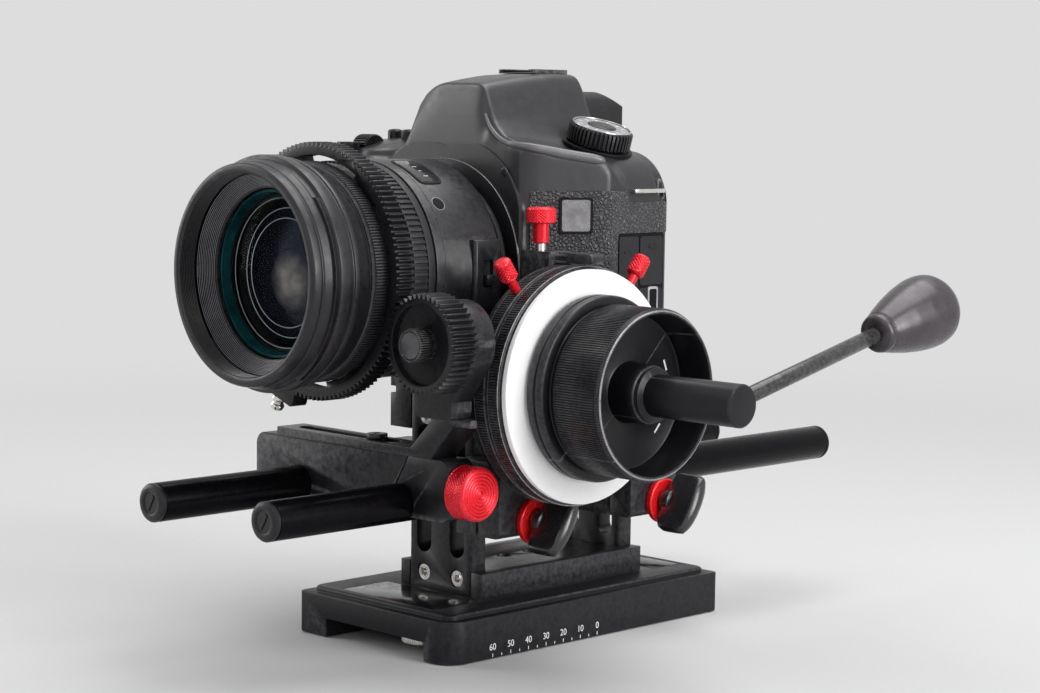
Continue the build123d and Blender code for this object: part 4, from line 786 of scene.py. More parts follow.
def make_red_parts():
    low, high, centre = extent("bracket_knob")
    face, radius = high.x, (high.z - low.z) / 2
    back = face - 10.0
    rows = [(low.x, 0.0), (low.x, 2.5), (back, 2.5), (back, radius - 1.2), (back + 0.9, radius - 0.1)]
    rows += knurled_rows(back + 1.0, face - 1.4, radius, 0.42, 1.35)
    rows += [(face - 1.1, radius - 0.35), (face - 0.5, radius - 0.9), (face - 0.12, radius - 1.5)]
    for ring in (8.2, 6.9, 5.6, 4.2, 2.8, 1.5):
        rows += [(face - 0.10, ring + 0.45), (face - 0.38, ring), (face - 0.10, ring - 0.45)]
    rows.append((face - 0.05, 0.0))
    turned_piece("bracket_knob_knurled", rows, place_x(centre.y, centre.z), "bracket_knob",
                 "red_anodised", diamonds(48, 1.35), replaces=("bracket_knob",))

    low, high, centre = extent("thumb_screw")
    neck = high.z - 13.9
    head = high.z - 6.2
    red = [(neck, 0.0), (neck, 2.7), (neck + 0.4, 3.1), (head, 3.1), (head, 4.9), (head + 0.5, 5.6)]
    red += knurled_rows(head + 0.6, high.z - 0.8, 5.85, 0.5, 1.2)
    red += [(high.z - 0.4, 5.3), (high.z, 4.8), (high.z, 0.0)]
    turned_piece("thumb_screw_head", red, place_z(centre.x, centre.y), "thumb_screw",
                 "red_anodised", diamonds(26, 1.2))
    pin = soften([(low.z, 0.0), (low.z, 1.9), (neck + 0.3, 1.9), (neck + 0.3, 0.0)], 0.25)
    turned_piece("thumb_screw_pin", pin, place_z(centre.x, centre.y), "thumb_screw",
                 "steel", plain(40), replaces=("thumb_screw",))

    ring_centre = middle("stop_a_ring")
    for name, tilt in (("stop_a", 36.0), ("stop_b", -37.0)):
        centre = middle(name + "_ring")
        direction = Vector((0, -sin(radians(tilt)), cos(radians(tilt))))
        place = axis_place(Vector((centre.x, ring_centre.y, ring_centre.z)), direction)
        rows = [(41.0, 0.0), (41.0, 1.85), (50.9, 1.85), (51.2, 2.3), (51.6, 3.0), (52.1, 3.35)]
        rows += knurled_rows(52.3, 58.9, 3.65, 0.5, 1.35)
        rows += [(59.3, 3.2), (59.8, 2.7), (60.1, 1.6), (60.2, 0.0)]
        turned_piece(name + "_screw_knurled", rows, place, name + "_screw", "red_anodised",
                     diamonds(15, 1.35), replaces=(name + "_screw",))


# ---------------------------------------------------------------- follow focus
def make_stop_rings():
    for name in ("stop_a_ring", "stop_b_ring"):
        low, high, centre = extent(name)
        radius = (high.z - low.z) / 2
        inner = radius - 5.6
        rows = [(low.x, inner), (low.x, radius - 1.0), (low.x + 0.35, radius - 0.35),
                (low.x + 0.9, radius, 0.36), (high.x - 0.9, radius, 0.36),
                (high.x - 0.35, radius - 0.35), (high.x, radius - 1.0), (high.x, inner)]
        turned_piece(name + "_ribbed", rows, place_x(centre.y, centre.z), name[:6],
                     "black_anodised", ribs(270), ring=True, replaces=(name,))
        place = place_x(centre.y, centre.z)
        for edge, inward in ((low.x + 0.62, 1), (high.x - 0.62, -1)):
            line = [(edge - 0.14, radius - 0.42), (edge - 0.1, radius - 0.08),
                    (edge + 0.1, radius - 0.02), (edge + 0.16, radius - 0.4)]
            turned_piece(f"{name}_edge_{'front' if inward < 0 else 'rear'}", line, place, name[:6],
                         "steel", plain(180), ring=True, material=edge_bright)


def make_disc():
    low, high, centre = extent("marking_disc")
    radius = (high.z - low.z) / 2
    rows = soften([(low.x, 4.0), (low.x, radius), (high.x, radius), (high.x, 4.0)], 0.5, 4, ring=True)
    turned_piece("marking_disc_white", rows, place_x(centre.y, centre.z), "wheel",
                 "white_plastic", plain(200), ring=True, replaces=("marking_disc",))


def make_handwheel():
    low, high, centre = extent("handwheel")
    place = place_x(centre.y, centre.z)
    flange = (high.z - low.z) / 2
    start, rim = low.x, high.x
    neck = start + 9.0
    grip = neck + 2.2
    floor_x = rim - 15.0
    radius = 32.4
    plain_rows = [
        (start, 4.0), (start, flange - 1.6), (start + 1.0, flange - 0.5), (start + 2.0, flange),
        (start + 4.4, flange), (start + 4.7, flange - 0.5), (start + 5.5, flange - 0.5),
        (start + 5.8, flange), (neck - 0.9, flange), (neck - 0.3, flange - 0.35),
        (neck, flange - 1.0), (neck, 31.4), (neck + 0.3, 31.0), (grip - 0.3, 31.0),
        (grip, 31.3), (grip, radius - 0.7), (grip + 0.5, radius - 0.2),
    ]
    grip_rows = [(grip + 0.9, radius, 0.34), (rim - 2.7, radius, 0.34)]
    rim_rows = [
        (rim - 2.5, radius - 0.35), (rim - 2.2, radius - 0.05), (rim - 1.3, radius, 0.22),
        (rim - 0.5, radius - 0.55), (rim - 0.1, radius - 1.0), (rim, radius - 1.5),
        (rim - 0.15, radius - 1.95), (rim - 0.6, radius - 2.15), (floor_x + 1.2, radius - 2.8),
        (floor_x + 0.4, radius - 3.1), (floor_x, radius - 3.9), (floor_x, 12.4), (floor_x + 0.4, 11.6),
        (floor_x + 1.2, 11.3), (floor_x + 11.2, 11.3), (floor_x + 12.0, 10.9), (floor_x + 12.4, 10.2),
        (floor_x + 12.4, 6.0), (floor_x - 3.0, 6.0), (floor_x - 3.0, 4.0),
    ]
    turned_piece("handwheel_ribbed", plain_rows + grip_rows + rim_rows, place, "wheel",
                 "black_anodised", ribs(208), ring=True, replaces=("handwheel",))
    bright = [(rim - 0.30, radius - 0.72), (rim - 0.05, radius - 1.0), (rim + 0.0, radius - 1.35),
              (rim - 0.25, radius - 1.2)]
    turned_piece("handwheel_rim_line", bright, place, "wheel", "steel", plain(200), ring=True,
                 material=edge_bright)
    ticks = []
    for y, z in ((-23.2, 118.5), (-27.1, 94.7)):
        mark = Vector((floor_x, y, z))
        outward = Vector((0, y - centre.y, z - centre.z)).normalized()
        along = outward.cross(Vector((1, 0, 0)))
        ticks.append(flat_bar(mark - along * 2.2, mark + along * 2.2, 0.8, 0.06, (1, 0, 0)))
    joined("handwheel_marks", ticks, "wheel", "white_plastic", white_paint)


KNOB_OUTLINE = (
    (0.0, 8.0), (0.12, 9.6), (0.30, 11.7), (0.50, 13.5), (0.66, 14.4), (0.76, 14.55), (0.85, 14.1),
    (0.92, 12.6), (0.965, 10.0), (0.99, 6.0), (1.0, 0.0),
)


def smooth_at(outline, t):
    """The value at t on straight runs between (t, value) marks."""
    for (low, first), (high, last) in zip(outline, outline[1:]):
        if t <= high:
            share = (t - low) / (high - low)
            return first + (last - first) * share
    return outline[-1][1]


def make_crank():
    refine("crank_post", 0.2)
    refine("crank_lever", 0.4)
    centre = middle("crank_post")
    lever = middle("crank_lever")
    tilt = radians(13.2)
    origin = Vector((lever.x, centre.y, centre.z))
    direction = Vector((0, cos(tilt), sin(tilt)))
    place = axis_place(origin, direction)
    start, length = 88.5, 42.0
    rows = [(start, 2.5), (start, 6.6), (start + 0.6, 7.3), (start + 2.6, 7.9), (start + 2.9, 7.75),
            (start + 3.1, 7.8)]
    steps = 36
    for n in range(steps + 1):
        t = n / steps
        along = start + 3.3 + (length - 3.35) * t
        radius = smooth_at(KNOB_OUTLINE, t)
        rows.append((along, radius))
    rows[-1] = (start + length - 0.05, 0.0)
    rows += [(start + length - 8.5, 0.0), (start + length - 8.5, 2.5)]
    turned_piece("crank_knob_smooth", rows, place, "crank_knob", "satin_plastic", plain(96),
                 ring=True, replaces=("crank_knob",), angle=radians(60))


def make_gears():
    refine("lens_gear_ring", 0.22, limit=24)
    refine("drive_gear", 0.22, limit=24)
    refine_all(("drive_shaft", 0.1, 1), ("lay_shaft", 0.1, 1), ("wheel_shaft", 0.1, 1))
    low, high, centre = extent("drive_gear_screw")
    place = place_y(centre.x, centre.z)
    front = low.y
    radius = (high.x - low.x) / 2
    rows = [(front + 0.35, 0.0), (front + 0.35, radius - 1.3), (front + 0.05, radius - 1.0),
            (front, radius - 0.6), (front + 0.3, radius - 0.2), (front + 0.6, radius, 0.35),
            (front + 4.8, radius, 0.35), (front + 5.1, radius - 0.4), (high.y, radius - 0.4),
            (high.y, 0.0)]
    turned_piece("drive_gear_screw_knurled", rows, place, "drive", "dark_steel", ribs(44),
                 replaces=("drive_gear_screw",))
    face = [(front + 0.30, 0.0), (front + 0.30, radius - 1.5), (front + 0.37, radius - 1.4),
            (front + 0.37, 0.0)]
    turned_piece("drive_gear_screw_face", face, place, "drive", "dark_steel", plain(64),
                 material=grey_face)


# ---------------------------------------------------------------- lens
def make_lens():
    make_lens_front()
    make_focus_rings()
    make_lens_barrel()
    make_lens_glass()


def make_lens_front():
    low, high, centre = extent("lens_front_ring")
    front = low.y
    hood = (high.z - low.z) / 2
    rim = hood - 3.1
    thread = 38.1
    seat = 32.3
    back = high.y
    outside = [
        (front + 14.2, seat), (front + 20.0, seat), (front + 24.0, 37.7), (back, 37.7),
        (back, 41.1), (front + 26.6, 41.7), (front + 21.0, 42.3), (front + 20.4, hood - 0.9),
        (front + 18.6, hood - 0.9), (front + 18.3, hood - 1.5), (front + 17.5, hood - 1.5),
        (front + 17.2, hood - 0.9), (front + 15.8, hood - 0.9), (front + 15.4, hood),
        (front + 10.8, hood), (front + 10.4, hood - 1.6), (front + 8.4, hood - 1.6),
        (front + 8.0, rim + 1.2), (front + 5.0, rim + 0.75), (front + 4.6, rim + 0.35),
        (front + 4.0, rim + 0.35), (front + 3.6, rim + 0.55), (front + 1.0, rim + 0.1),
        (front + 0.2, rim - 0.5), (front, rim - 1.4), (front, thread + 0.9),
        (front + 0.5, thread + 0.2),
    ]
    rows = soften(outside, 0.35, 2)
    for n in range(9):
        rows += [(front + 0.9 + 0.75 * n, thread), (front + 1.2 + 0.75 * n, thread + 0.35),
                 (front + 1.35 + 0.75 * n, thread + 0.35), (front + 1.6 + 0.75 * n, thread)]
    grooves = 11
    ridges = []
    cone = thread - 0.4 - seat - 0.5
    for n in range(grooves):
        radius = thread - 0.4 - cone * n / grooves
        station = front + 8.7 + 5.3 * n / grooves
        step = cone / grooves
        rows += [(station, radius), (station + 0.02, radius - step * 0.45),
                 (station + 0.44, radius - step * 0.55)]
        ridge = [(station - 0.04, radius - 0.02), (station - 0.10, radius - step * 0.20),
                 (station - 0.06, radius - step * 0.42), (station + 0.05, radius - step * 0.42),
                 (station + 0.05, radius)]
        ridges.append(turned(ridge, place_y(centre.x, centre.z), plain(180), ring=True))
    rows.append((front + 14.2, seat + 0.3))

    def bayonet(angle, station, radius):
        """The hood's bayonet groove is filled for a short way at two lugs."""
        if not front + 8.3 < station < front + 10.5:
            return radius
        for lug in BAYONET_LUGS:
            away = abs((angle - lug + pi) % (2 * pi) - pi)
            if away < BAYONET_REACH:
                return max(radius, hood - 0.25)
        return radius

    turned_piece("lens_front_turned", rows, place_y(centre.x, centre.z), "rig", "lens_paint",
                 plain(180), ring=True, shape=bayonet, replaces=("lens_front_ring",))
    # the baffle ridges are grey: a painted highlight on each ridge
    joined("lens_baffle_ridges", ridges, "rig", "lens_paint", ridge_highlight_and_socket_grey)


BAYONET_LUGS = (radians(98), radians(278))
BAYONET_REACH = radians(51)


def make_focus_rings():
    """The focus ring: a fine ribbed band in front of the gear ring and ribs behind it."""
    low, high, centre = extent("focus_ring")
    place = place_y(centre.x, centre.z)
    start, end = low.y, high.y
    inner = 38.1
    radius = (high.z - low.z) / 2
    gear_low, gear_high = box_mm("lens_gear_ring")
    core = [(start, inner), (start, radius - 1.2), (start + 0.6, radius - 0.75),
            (end - 0.5, radius - 0.75), (end, radius - 1.2), (end, inner)]
    turned_piece("focus_ring_core", core, place, "focus", "lens_paint", plain(160), ring=True,
                 replaces=("focus_ring",))
    fine = [(start + 1.0, radius - 0.8), (start + 1.2, radius - 0.2, 0.2), (start + 1.6, radius, 0.5),
            (gear_low.y + 0.6, radius, 0.5), (gear_low.y + 0.9, radius - 0.8)]
    turned_piece("focus_ring_fine_ribs", fine, place, "focus", "lens_rubber", ribs(230), ring=True)
    ribs_start = gear_high.y + 0.3
    ribs_end = gear_high.y + 13.8
    half_way = (ribs_start + ribs_end) / 2
    count = 108
    for n, (a, b) in enumerate(((ribs_start, half_way + 0.6), (half_way - 0.4, ribs_end))):
        turn = pi / count * n
        spokes = [(angle + turn, level) for angle, level in ribs(count, 0.46, 0.08)]
        rows = [(a, radius - 0.8), (a + 0.12, radius - 0.1, 0.7), (a + 0.5, radius, 0.75),
                (b - 0.5, radius, 0.75), (b - 0.12, radius - 0.1, 0.7), (b, radius - 0.8)]
        turned_piece(f"focus_ring_ribs_{n}", rows, place, "focus", "lens_rubber", spokes, ring=True)
    band = soften([(ribs_end + 0.1, radius - 0.9), (ribs_end + 0.1, radius - 0.05),
                   (end - 0.1, radius - 0.05), (end - 0.1, radius - 0.9)], 0.3, ring=True)
    turned_piece("focus_ring_smooth_band", band, place, "focus", "lens_rubber", plain(160),
                 ring=True)


def make_lens_barrel():
    refine("lens_barrel", 0.3)
    refine("focus_switch", 0.3)
    refine("ring_clamp_screw", 0.12, limit=28)
    centre = middle("focus_ring")
    place = place_y(centre.x, centre.z)
    ring_high = box_mm("focus_ring")[1]
    radius = 42.72
    seam = ring_high.y + 4.5
    rows = [(seam, radius - 0.2), (seam + 0.05, radius + 0.06), (seam + 0.35, radius + 0.06),
            (seam + 0.4, radius - 0.2)]
    turned_piece("lens_barrel_line", rows, place, "rig", "lens_paint", plain(160), ring=True)
    make_distance_window(centre, radius, ring_high.y)
    vertices, faces = arc_patch(centre, radius, ring_high.y + 9.0, 3.1, LENS_BADGE_TURN, 3.1 / radius,
                                0.12, 1.0)
    piece("lens_badge_rim", vertices, faces, "rig", "lens_paint", edge_bright)
    vertices, faces = arc_patch(centre, radius, ring_high.y + 9.0, 2.75, LENS_BADGE_TURN,
                                2.75 / radius, 0.16, 1.0)
    piece("lens_badge_blank", vertices, faces, "rig", "lens_paint", inner_black)


LENS_BADGE_TURN = radians(51.5)


def arc_patch(centre, radius, y, half_length, angle, half_angle, thick, corner=0.35, steps=22):
    """A rounded patch lying on the lens barrel, centred at an angle from straight up."""
    rim = []
    count = 4 * steps
    for n in range(count):
        a = 2 * pi * n / count
        ex = abs(cos(a)) ** corner * (1 if cos(a) >= 0 else -1)
        ey = abs(sin(a)) ** corner * (1 if sin(a) >= 0 else -1)
        rim.append((y + half_length * ex, angle + half_angle * ey))
    vertices, faces = [], []

    def ring_at(shares, height):
        loop = []
        for station, turn in rim:
            s = y + (station - y) * shares
            t = angle + (turn - angle) * shares
            loop.append(len(vertices))
            reach = radius + height
            vertices.append(Vector((centre.x + reach * sin(t), s, centre.z + reach * cos(t))))
        return loop

    loops = [ring_at(1.0, -0.6), ring_at(1.0, thick - 0.12), ring_at(0.985, thick)]
    loops += [ring_at(share, thick) for share in (0.8, 0.6, 0.4, 0.2)]
    for low, high in zip(loops, loops[1:]):
        faces += bridge(low, high)
    faces.append(tuple(loops[-1]))
    lower = [ring_at(share, -0.6) for share in (0.8, 0.6, 0.4, 0.2)]
    previous = loops[0]
    for loop in lower:
        faces += bridge(loop, previous)
        previous = loop
    faces.append(tuple(reversed(lower[-1])))
    return vertices, faces


def make_distance_window(centre, radius, ring_end):
    y = ring_end + 12.5
    middle_turn = 24.0
    vertices, faces = arc_patch(centre, radius, y, 6.4, radians(middle_turn), radians(14), 0.35,
                                0.4)
    piece("distance_window_frame", vertices, faces, "rig", "lens_paint", inner_black)
    vertices, faces = arc_patch(centre, radius, y, 5.4, radians(middle_turn), radians(12.4), 0.42,
                                0.35)
    piece("distance_window_glass", vertices, faces, "rig", "screen_glass")
    marks = []
    for n in range(4):
        t = radians(middle_turn + (n - 1.5) * 5.0)
        spot = Vector((centre.x + (radius + 0.4) * sin(t), y, centre.z + (radius + 0.4) * cos(t)))
        long_half = 1.2 if n % 2 else 0.7
        start = spot + Vector((0, -long_half, 0))
        end = spot + Vector((0, long_half, 0))
        marks.append(flat_bar(start, end, 0.22, 0.06, (sin(t), 0, cos(t))))
    joined("distance_window_scale", marks, "rig", "white_plastic", white_paint)


def dome(front, radius, bulge, depth, back_bulge=0.0):
    """Rows of a lens element with a curved front and back."""
    rows = []
    steps = 14
    for n in range(steps + 1):
        r = radius * n / steps
        rows.append((front + bulge * (r / radius) ** 2, r))
    for n in range(steps, -1, -1):
        r = radius * n / steps
        rows.append((front + bulge + depth - back_bulge * (1 - (r / radius) ** 2), r))
    return rows


def make_lens_glass():
    """The front element over coated inner elements that step down into the barrel."""
    low, high, centre = extent("lens_glass")
    place = place_y(centre.x, centre.z)
    radius = (high.z - low.z) / 2
    front = low.y
    turned_piece("lens_glass_front", dome(front, radius - 0.05, 3.9, 4.4, -1.5), place, "rig",
                 "lens_glass", plain(128), replaces=("lens_glass",), angle=radians(60))
    inner = (
        ("second", front + 12.0, 28.0, 3.4, element_violet),
        ("third", front + 22.0, 22.6, -2.6, element_teal),
        ("fourth", front + 31.0, 15.6, 2.4, element_amber),
    )
    for name, station, size, bulge, coat in inner:
        turned_piece(f"lens_element_{name}", dome(station, size, bulge, 4.5, 0.5), place, "rig",
                     "lens_glass", plain(96), angle=radians(60), material=coat)
    baffles = (
        (9.0, 29.9, 28.6), (10.5, 29.6, 28.0), (18.5, 28.6, 25.6), (20.5, 27.0, 24.0),
        (22.0, 25.0, 22.6), (28.0, 22.4, 18.6), (30.0, 19.6, 15.6),
    )
    walls = []
    for away, outer, hole in baffles:
        station = front + away
        rows = soften([(station, outer), (station, hole), (station + 1.2, hole),
                       (station + 1.2, outer)], 0.3, 2, ring=True)
        walls.append(turned(rows, place, plain(96), ring=True))
    joined("lens_baffle_rings", walls, "rig", "lens_paint", inner_black)
    edges = []
    for away, hole in ((10.3, 28.1), (12.0, 20.4), (12.9, 24.2)):
        ring = [(front + away, hole), (front + away - 0.1, hole + 0.22), (front + away + 0.1, hole + 0.3)]
        edges.append(turned(ring, place, plain(120), ring=True))
    # the wall inside the front element's edge wears a teal base colour, a painted reflection
    wall = [(front + 4.6, radius - 0.4), (front + 8.9, 30.6), (front + 8.9, 29.8),
            (front + 4.6, radius - 1.2)]
    turned_piece("lens_element_edge", wall, place, "rig", "lens_glass", plain(128), ring=True,
                 material=edge_teal)
    # the baffle edges are grey: painted highlights, thin bright rings inside the lens
    joined("lens_baffle_edges", edges, "rig", "lens_paint", ridge_highlight_and_socket_grey)


# ---------------------------------------------------------------- build everything
def make_rest():
    """Give the CAD pieces that stay as they are their finishes."""
    for made in frame["nodes"].values():
        if made.hide_render:
            continue
        slot_name = made.data.materials[0].name.split(".")[0]
        made.data.materials[0] = materials[slot_name]


def make_stage():
    """A plain pale floor that fades into the backdrop, which is the world."""
    n = Nodes("studio_floor")
    away = n.add("ShaderNodeVectorMath", operation="LENGTH")
    n.feed(away.inputs[0], n.place)
    fade = n.add("ShaderNodeMapRange", {
        "Value": away.outputs["Value"], "From Min": 0.25, "From Max": 1.1,
        "To Min": 0.0, "To Max": 1.0,
    }, interpolation_type="SMOOTHSTEP").outputs["Result"]
    grain = n.noise(3.0, 3.0)
    paper = n.blend(n.spread(grain, 0.0, 1.0), FLOOR_COLOUR, shade(FLOOR_COLOUR, 0.99))
    matt = n.add("ShaderNodeBsdfDiffuse", {"Color": paper})
    glow = n.add("ShaderNodeEmission", {"Color": BACKDROP, "Strength": 1.0})
    mix = n.add("ShaderNodeMixShader", {0: fade, 1: matt.outputs[0], 2: glow.outputs[0]})
    n.surface(mix.outputs[0])
    mesh = bpy.data.meshes.new("studio_floor")
    reach = 14.0
    mesh.from_pydata(
        [(-reach, -reach, 0), (reach, -reach, 0), (reach, reach, 0), (-reach, reach, 0)],
        [], [(0, 1, 2, 3)])
    mesh.materials.append(n.material)
    floor_piece = bpy.data.objects.new("studio_floor", mesh)
    floor_piece.location.z = -0.0004
    bpy.context.scene.collection.objects.link(floor_piece)


BACKDROP = (0.723, 0.723, 0.723, 1.0)
FLOOR_COLOUR = (0.66, 0.66, 0.66, 1.0)


def make_world():
    world = bpy.data.worlds.new("studio")
    world.use_nodes = True
    tree = world.node_tree
    tree.nodes.clear()
    output = tree.nodes.new("ShaderNodeOutputWorld")
    path = tree.nodes.new("ShaderNodeLightPath")
    seen = None
    for ray in ("Is Camera Ray", "Is Glossy Ray", "Is Transmission Ray"):
        if seen is None:
            seen = path.outputs[ray]
            continue
        either = tree.nodes.new("ShaderNodeMath")
        either.operation = "MAXIMUM"
        tree.links.new(seen, either.inputs[0])
        tree.links.new(path.outputs[ray], either.inputs[1])
        seen = either.outputs[0]
    ambient = tree.nodes.new("ShaderNodeBackground")
    ambient.inputs["Color"].default_value = (0.50, 0.50, 0.52, 1.0)
    ambient.inputs["Strength"].default_value = AMBIENT
    backdrop = tree.nodes.new("ShaderNodeBackground")
    backdrop.inputs["Color"].default_value = BACKDROP
    backdrop.inputs["Strength"].default_value = 1.0
    mix = tree.nodes.new("ShaderNodeMixShader")
    tree.links.new(seen, mix.inputs[0])
    tree.links.new(ambient.outputs[0], mix.inputs[1])
    tree.links.new(backdrop.outputs[0], mix.inputs[2])
    tree.links.new(mix.outputs[0], output.inputs["Surface"])
    bpy.context.scene.world = world


AMBIENT = 0.55


def area_light(name, place, target, size, power):
    data = bpy.data.lights.new(name, "AREA")
    data.shape = "RECTANGLE"
    data.size, data.size_y = size
    data.energy = power
    light = bpy.data.objects.new(name, data)
    light.location = place
    light.rotation_mode = "QUATERNION"
    light.rotation_quaternion = (Vector(target) - Vector(place)).to_track_quat("-Z", "Y")
    bpy.context.scene.collection.objects.link(light)


def make_lights():
    bpy.context.scene.view_settings.view_transform = "Standard"
    target = (0.02, -0.02, 0.12)
    area_light("overhead", (0.1, 0.30, 1.5), target, (1.4, 1.0), 17.0)
    area_light("right_strip", (1.55, 0.05, 0.75), target, (0.6, 1.4), 17.0)
    area_light("left_strip", (-1.2, -0.7, 0.7), target, (0.4, 1.4), 8.0)
    area_light("corner_strip", (1.55, 0.34, 0.40), target, (0.22, 0.72), 4.0)
    area_light("front_fill", (0.4, -1.7, 0.9), target, (0.7, 0.7), 3.0)


# ---------------------------------------------------------------- camera body
# station along X, then on its section: front wall y, where it starts to lean z, front corner
# y and z, then z half way back and z at the rear
TOP_SECTIONS = (
    (0.0, -43.0, 201.0, -38.0, 223.9, 227.7, 229.0),
    (7.0, -43.0, 201.0, -38.0, 223.9, 227.7, 229.0),
    (12.0, -43.0, 201.0, -38.0, 223.8, 227.4, 229.0),
    (15.5, -43.0, 201.0, -38.1, 222.8, 226.0, 227.9),
    (18.0, -43.0, 201.0, -38.5, 219.0, 222.4, 224.6),
    (20.8, -43.0, 201.0, -39.0, 213.4, 216.6, 218.6),
    (24.0, -43.0, 203.0, -39.6, 208.4, 210.2, 211.6),
    (29.0, -43.0, 200.5, -40.0, 204.5, 203.6, 203.2),
    (34.0, -43.0, 199.0, -40.6, 202.8, 200.8, 200.2),
    (38.5, -42.8, 198.5, -40.8, 201.6, 199.2, 198.8),
    (42.0, -41.8, 197.5, -40.0, 200.8, 198.5, 198.3),
    (46.0, -36.9, 196.5, -35.3, 199.5, 197.8, 198.0),
    (50.0, -30.4, 195.0, -29.0, 198.2, 197.0, 196.6),
    (54.0, -23.9, 194.0, -22.6, 197.0, 195.6, 194.2),
    (57.2, -18.7, 193.0, -17.5, 196.0, 193.0, 190.8),
    (59.6, -14.8, 192.0, -13.6, 194.6, 189.4, 187.0),
    (61.2, -12.2, 188.0, -11.2, 190.0, 184.0, 181.5),
)
PRISM_LEFT_SECTIONS = (
    (-7.0, -43.0, 201.0, -38.0, 223.9, 227.7, 229.0),
    (-12.0, -43.0, 201.0, -38.0, 222.9, 226.4, 228.0),
    (-16.3, -43.0, 201.0, -38.1, 220.5, 224.0, 225.6),
    (-19.5, -43.0, 201.0, -38.4, 217.3, 220.6, 222.0),
    (-21.2, -43.0, 201.0, -38.7, 214.6, 217.6, 219.0),
    (-22.3, -43.0, 201.0, -39.0, 209.8, 212.6, 213.6),
    (-23.6, -43.0, 200.0, -39.2, 205.0, 207.0, 207.4),
    (-25.7, -43.0, 197.0, -39.2, 200.5, 202.2, 202.4),
    (-28.4, -43.0, 192.0, -39.2, 195.4, 198.8, 199.4),
    (-32.0, -43.0, 189.0, -38.8, 192.4, 199.4, 201.0),
    (-37.0, -42.0, 187.0, -36.5, 191.6, 199.8, 201.6),
)
LEFT_SECTIONS = (
    (-42.6, -38.0, 188.0, -31.5, 193.4, 200.6, 202.0),
    (-46.5, -31.0, 189.0, -27.0, 195.4, 201.2, 202.2),
    (-50.0, -28.0, 188.0, -24.5, 196.0, 201.4, 202.2),
    (-54.0, -34.0, 188.0, -27.0, 195.6, 201.2, 202.2),
    (-60.0, -42.0, 188.5, -32.0, 195.5, 200.8, 202.2),
    (-74.0, -43.0, 187.5, -32.0, 194.5, 200.0, 201.6),
    (-81.0, -42.0, 186.5, -31.0, 193.0, 197.4, 198.6),
    (-85.5, -39.0, 185.5, -28.0, 190.4, 192.4, 193.2),
    (-88.2, -34.0, 184.5, -24.0, 187.0, 187.6, 188.0),
)
TOP_REAR_Y = 17.0
BODY_FEET = (112.6, 126.0, 143.0)      # foot, and where the low front ends and meets the wall
LEFT_X, LEFT_FOOT_Z = -42.0, 183.0
LOW_FRONT_X, LOW_FRONT_Y = 43.0, -25.6
SIDE_X = 61.5
SLANT_START = Vector((43.5, -41.0))
SLANT_END = Vector((61.0, -12.5))
SLANT_ROUND = 7.0
SLANT_FROM_X, SLANT_TO_Y = 44.5, 5.0


def top_section(row):
    """Points round one section of the camera's body, front foot first."""
    x, front, lean_z, corner_y, corner_z, half_z, rear_z = row
    low = max(front, LOW_FRONT_Y) if x > LOW_FRONT_X else front
    feet = BODY_FEET if x > LEFT_X else (LEFT_FOOT_Z,) * 3
    half_y = corner_y * 0.55 + 2.0
    lean = (corner_z - lean_z) / max(1.0, corner_z - lean_z + 4.0)
    outline = [
        (low, feet[0]), (low, feet[1]), (front, feet[2] + 0.3), (front, lean_z - 6.0),
        (front, lean_z), (front + (corner_y - front) * 0.42 * lean, lean_z * 0.5 + corner_z * 0.5),
        (corner_y - 0.45, corner_z - 1.7), (corner_y + 0.4, corner_z + 0.1),
        (corner_y + 2.4, corner_z + 0.22 * (half_z - corner_z) + 0.3),
        (half_y, half_z), (half_y * 0.4, half_z * 0.35 + rear_z * 0.65), (0.0, rear_z),
        (TOP_REAR_Y - 3.0, rear_z), (TOP_REAR_Y - 0.8, rear_z - 0.7), (TOP_REAR_Y, rear_z - 2.5),
        (TOP_REAR_Y, feet[0]),
    ]
    return [(x, y, z) for y, z in outline]


def smooth_chain(points, between=4):
    """A Catmull-Rom curve through the points."""
    points = [Vector(p) for p in points]
    made = []
    count = len(points)
    for n in range(count - 1):
        before = points[max(0, n - 1)]
        start, end = points[n], points[n + 1]
        after = points[min(count - 1, n + 2)]
        for step in range(between):
            t = step / between
            made.append(0.5 * (
                2 * start + (end - before) * t
                + (2 * before - 5 * start + 4 * end - after) * t**2
                + (3 * start - before - 3 * end + after) * t**3))
    made.append(points[-1])
    return made


def make_top_form():
    rows = list(reversed(PRISM_LEFT_SECTIONS + LEFT_SECTIONS)) + list(TOP_SECTIONS)
    sections = [top_section(row) for row in rows]
    lines = [smooth_chain(line, 4) for line in zip(*sections)]
    loops = [list(points) for points in zip(*lines)]
    loops = [smooth_section(loop) for loop in loops]
    vertices = []
    rings = [add_loop(vertices, loop) for loop in loops]
    return vertices, skin(rings)


def smooth_section(loop):
    """Keep the feet and the rear corner as they are and curve the rest."""
    crown = smooth_chain(loop[2:-1], 3)
    return loop[:2] + crown + [loop[-1]]


def hold_slant(spot):
    """Keep a point inside the body's slanted front and the round corner to its side."""
    run = (SLANT_END - SLANT_START).normalized()
    out = Vector((run.y, -run.x))
    inner_x = SIDE_X - SLANT_ROUND
    inner_y = SLANT_START.y - (SLANT_ROUND + (inner_x - SLANT_START.x) * out.x) / out.y
    centre = Vector((inner_x, inner_y))
    rest = spot - centre
    past_front = rest.y / out.y
    past_side = rest.x - past_front * out.x
    if past_front >= 0 and past_side >= 0:
        return centre + rest.normalized() * min(rest.length, SLANT_ROUND)
    away = (spot - SLANT_START).dot(out)
    return spot - out * max(away, 0.0)


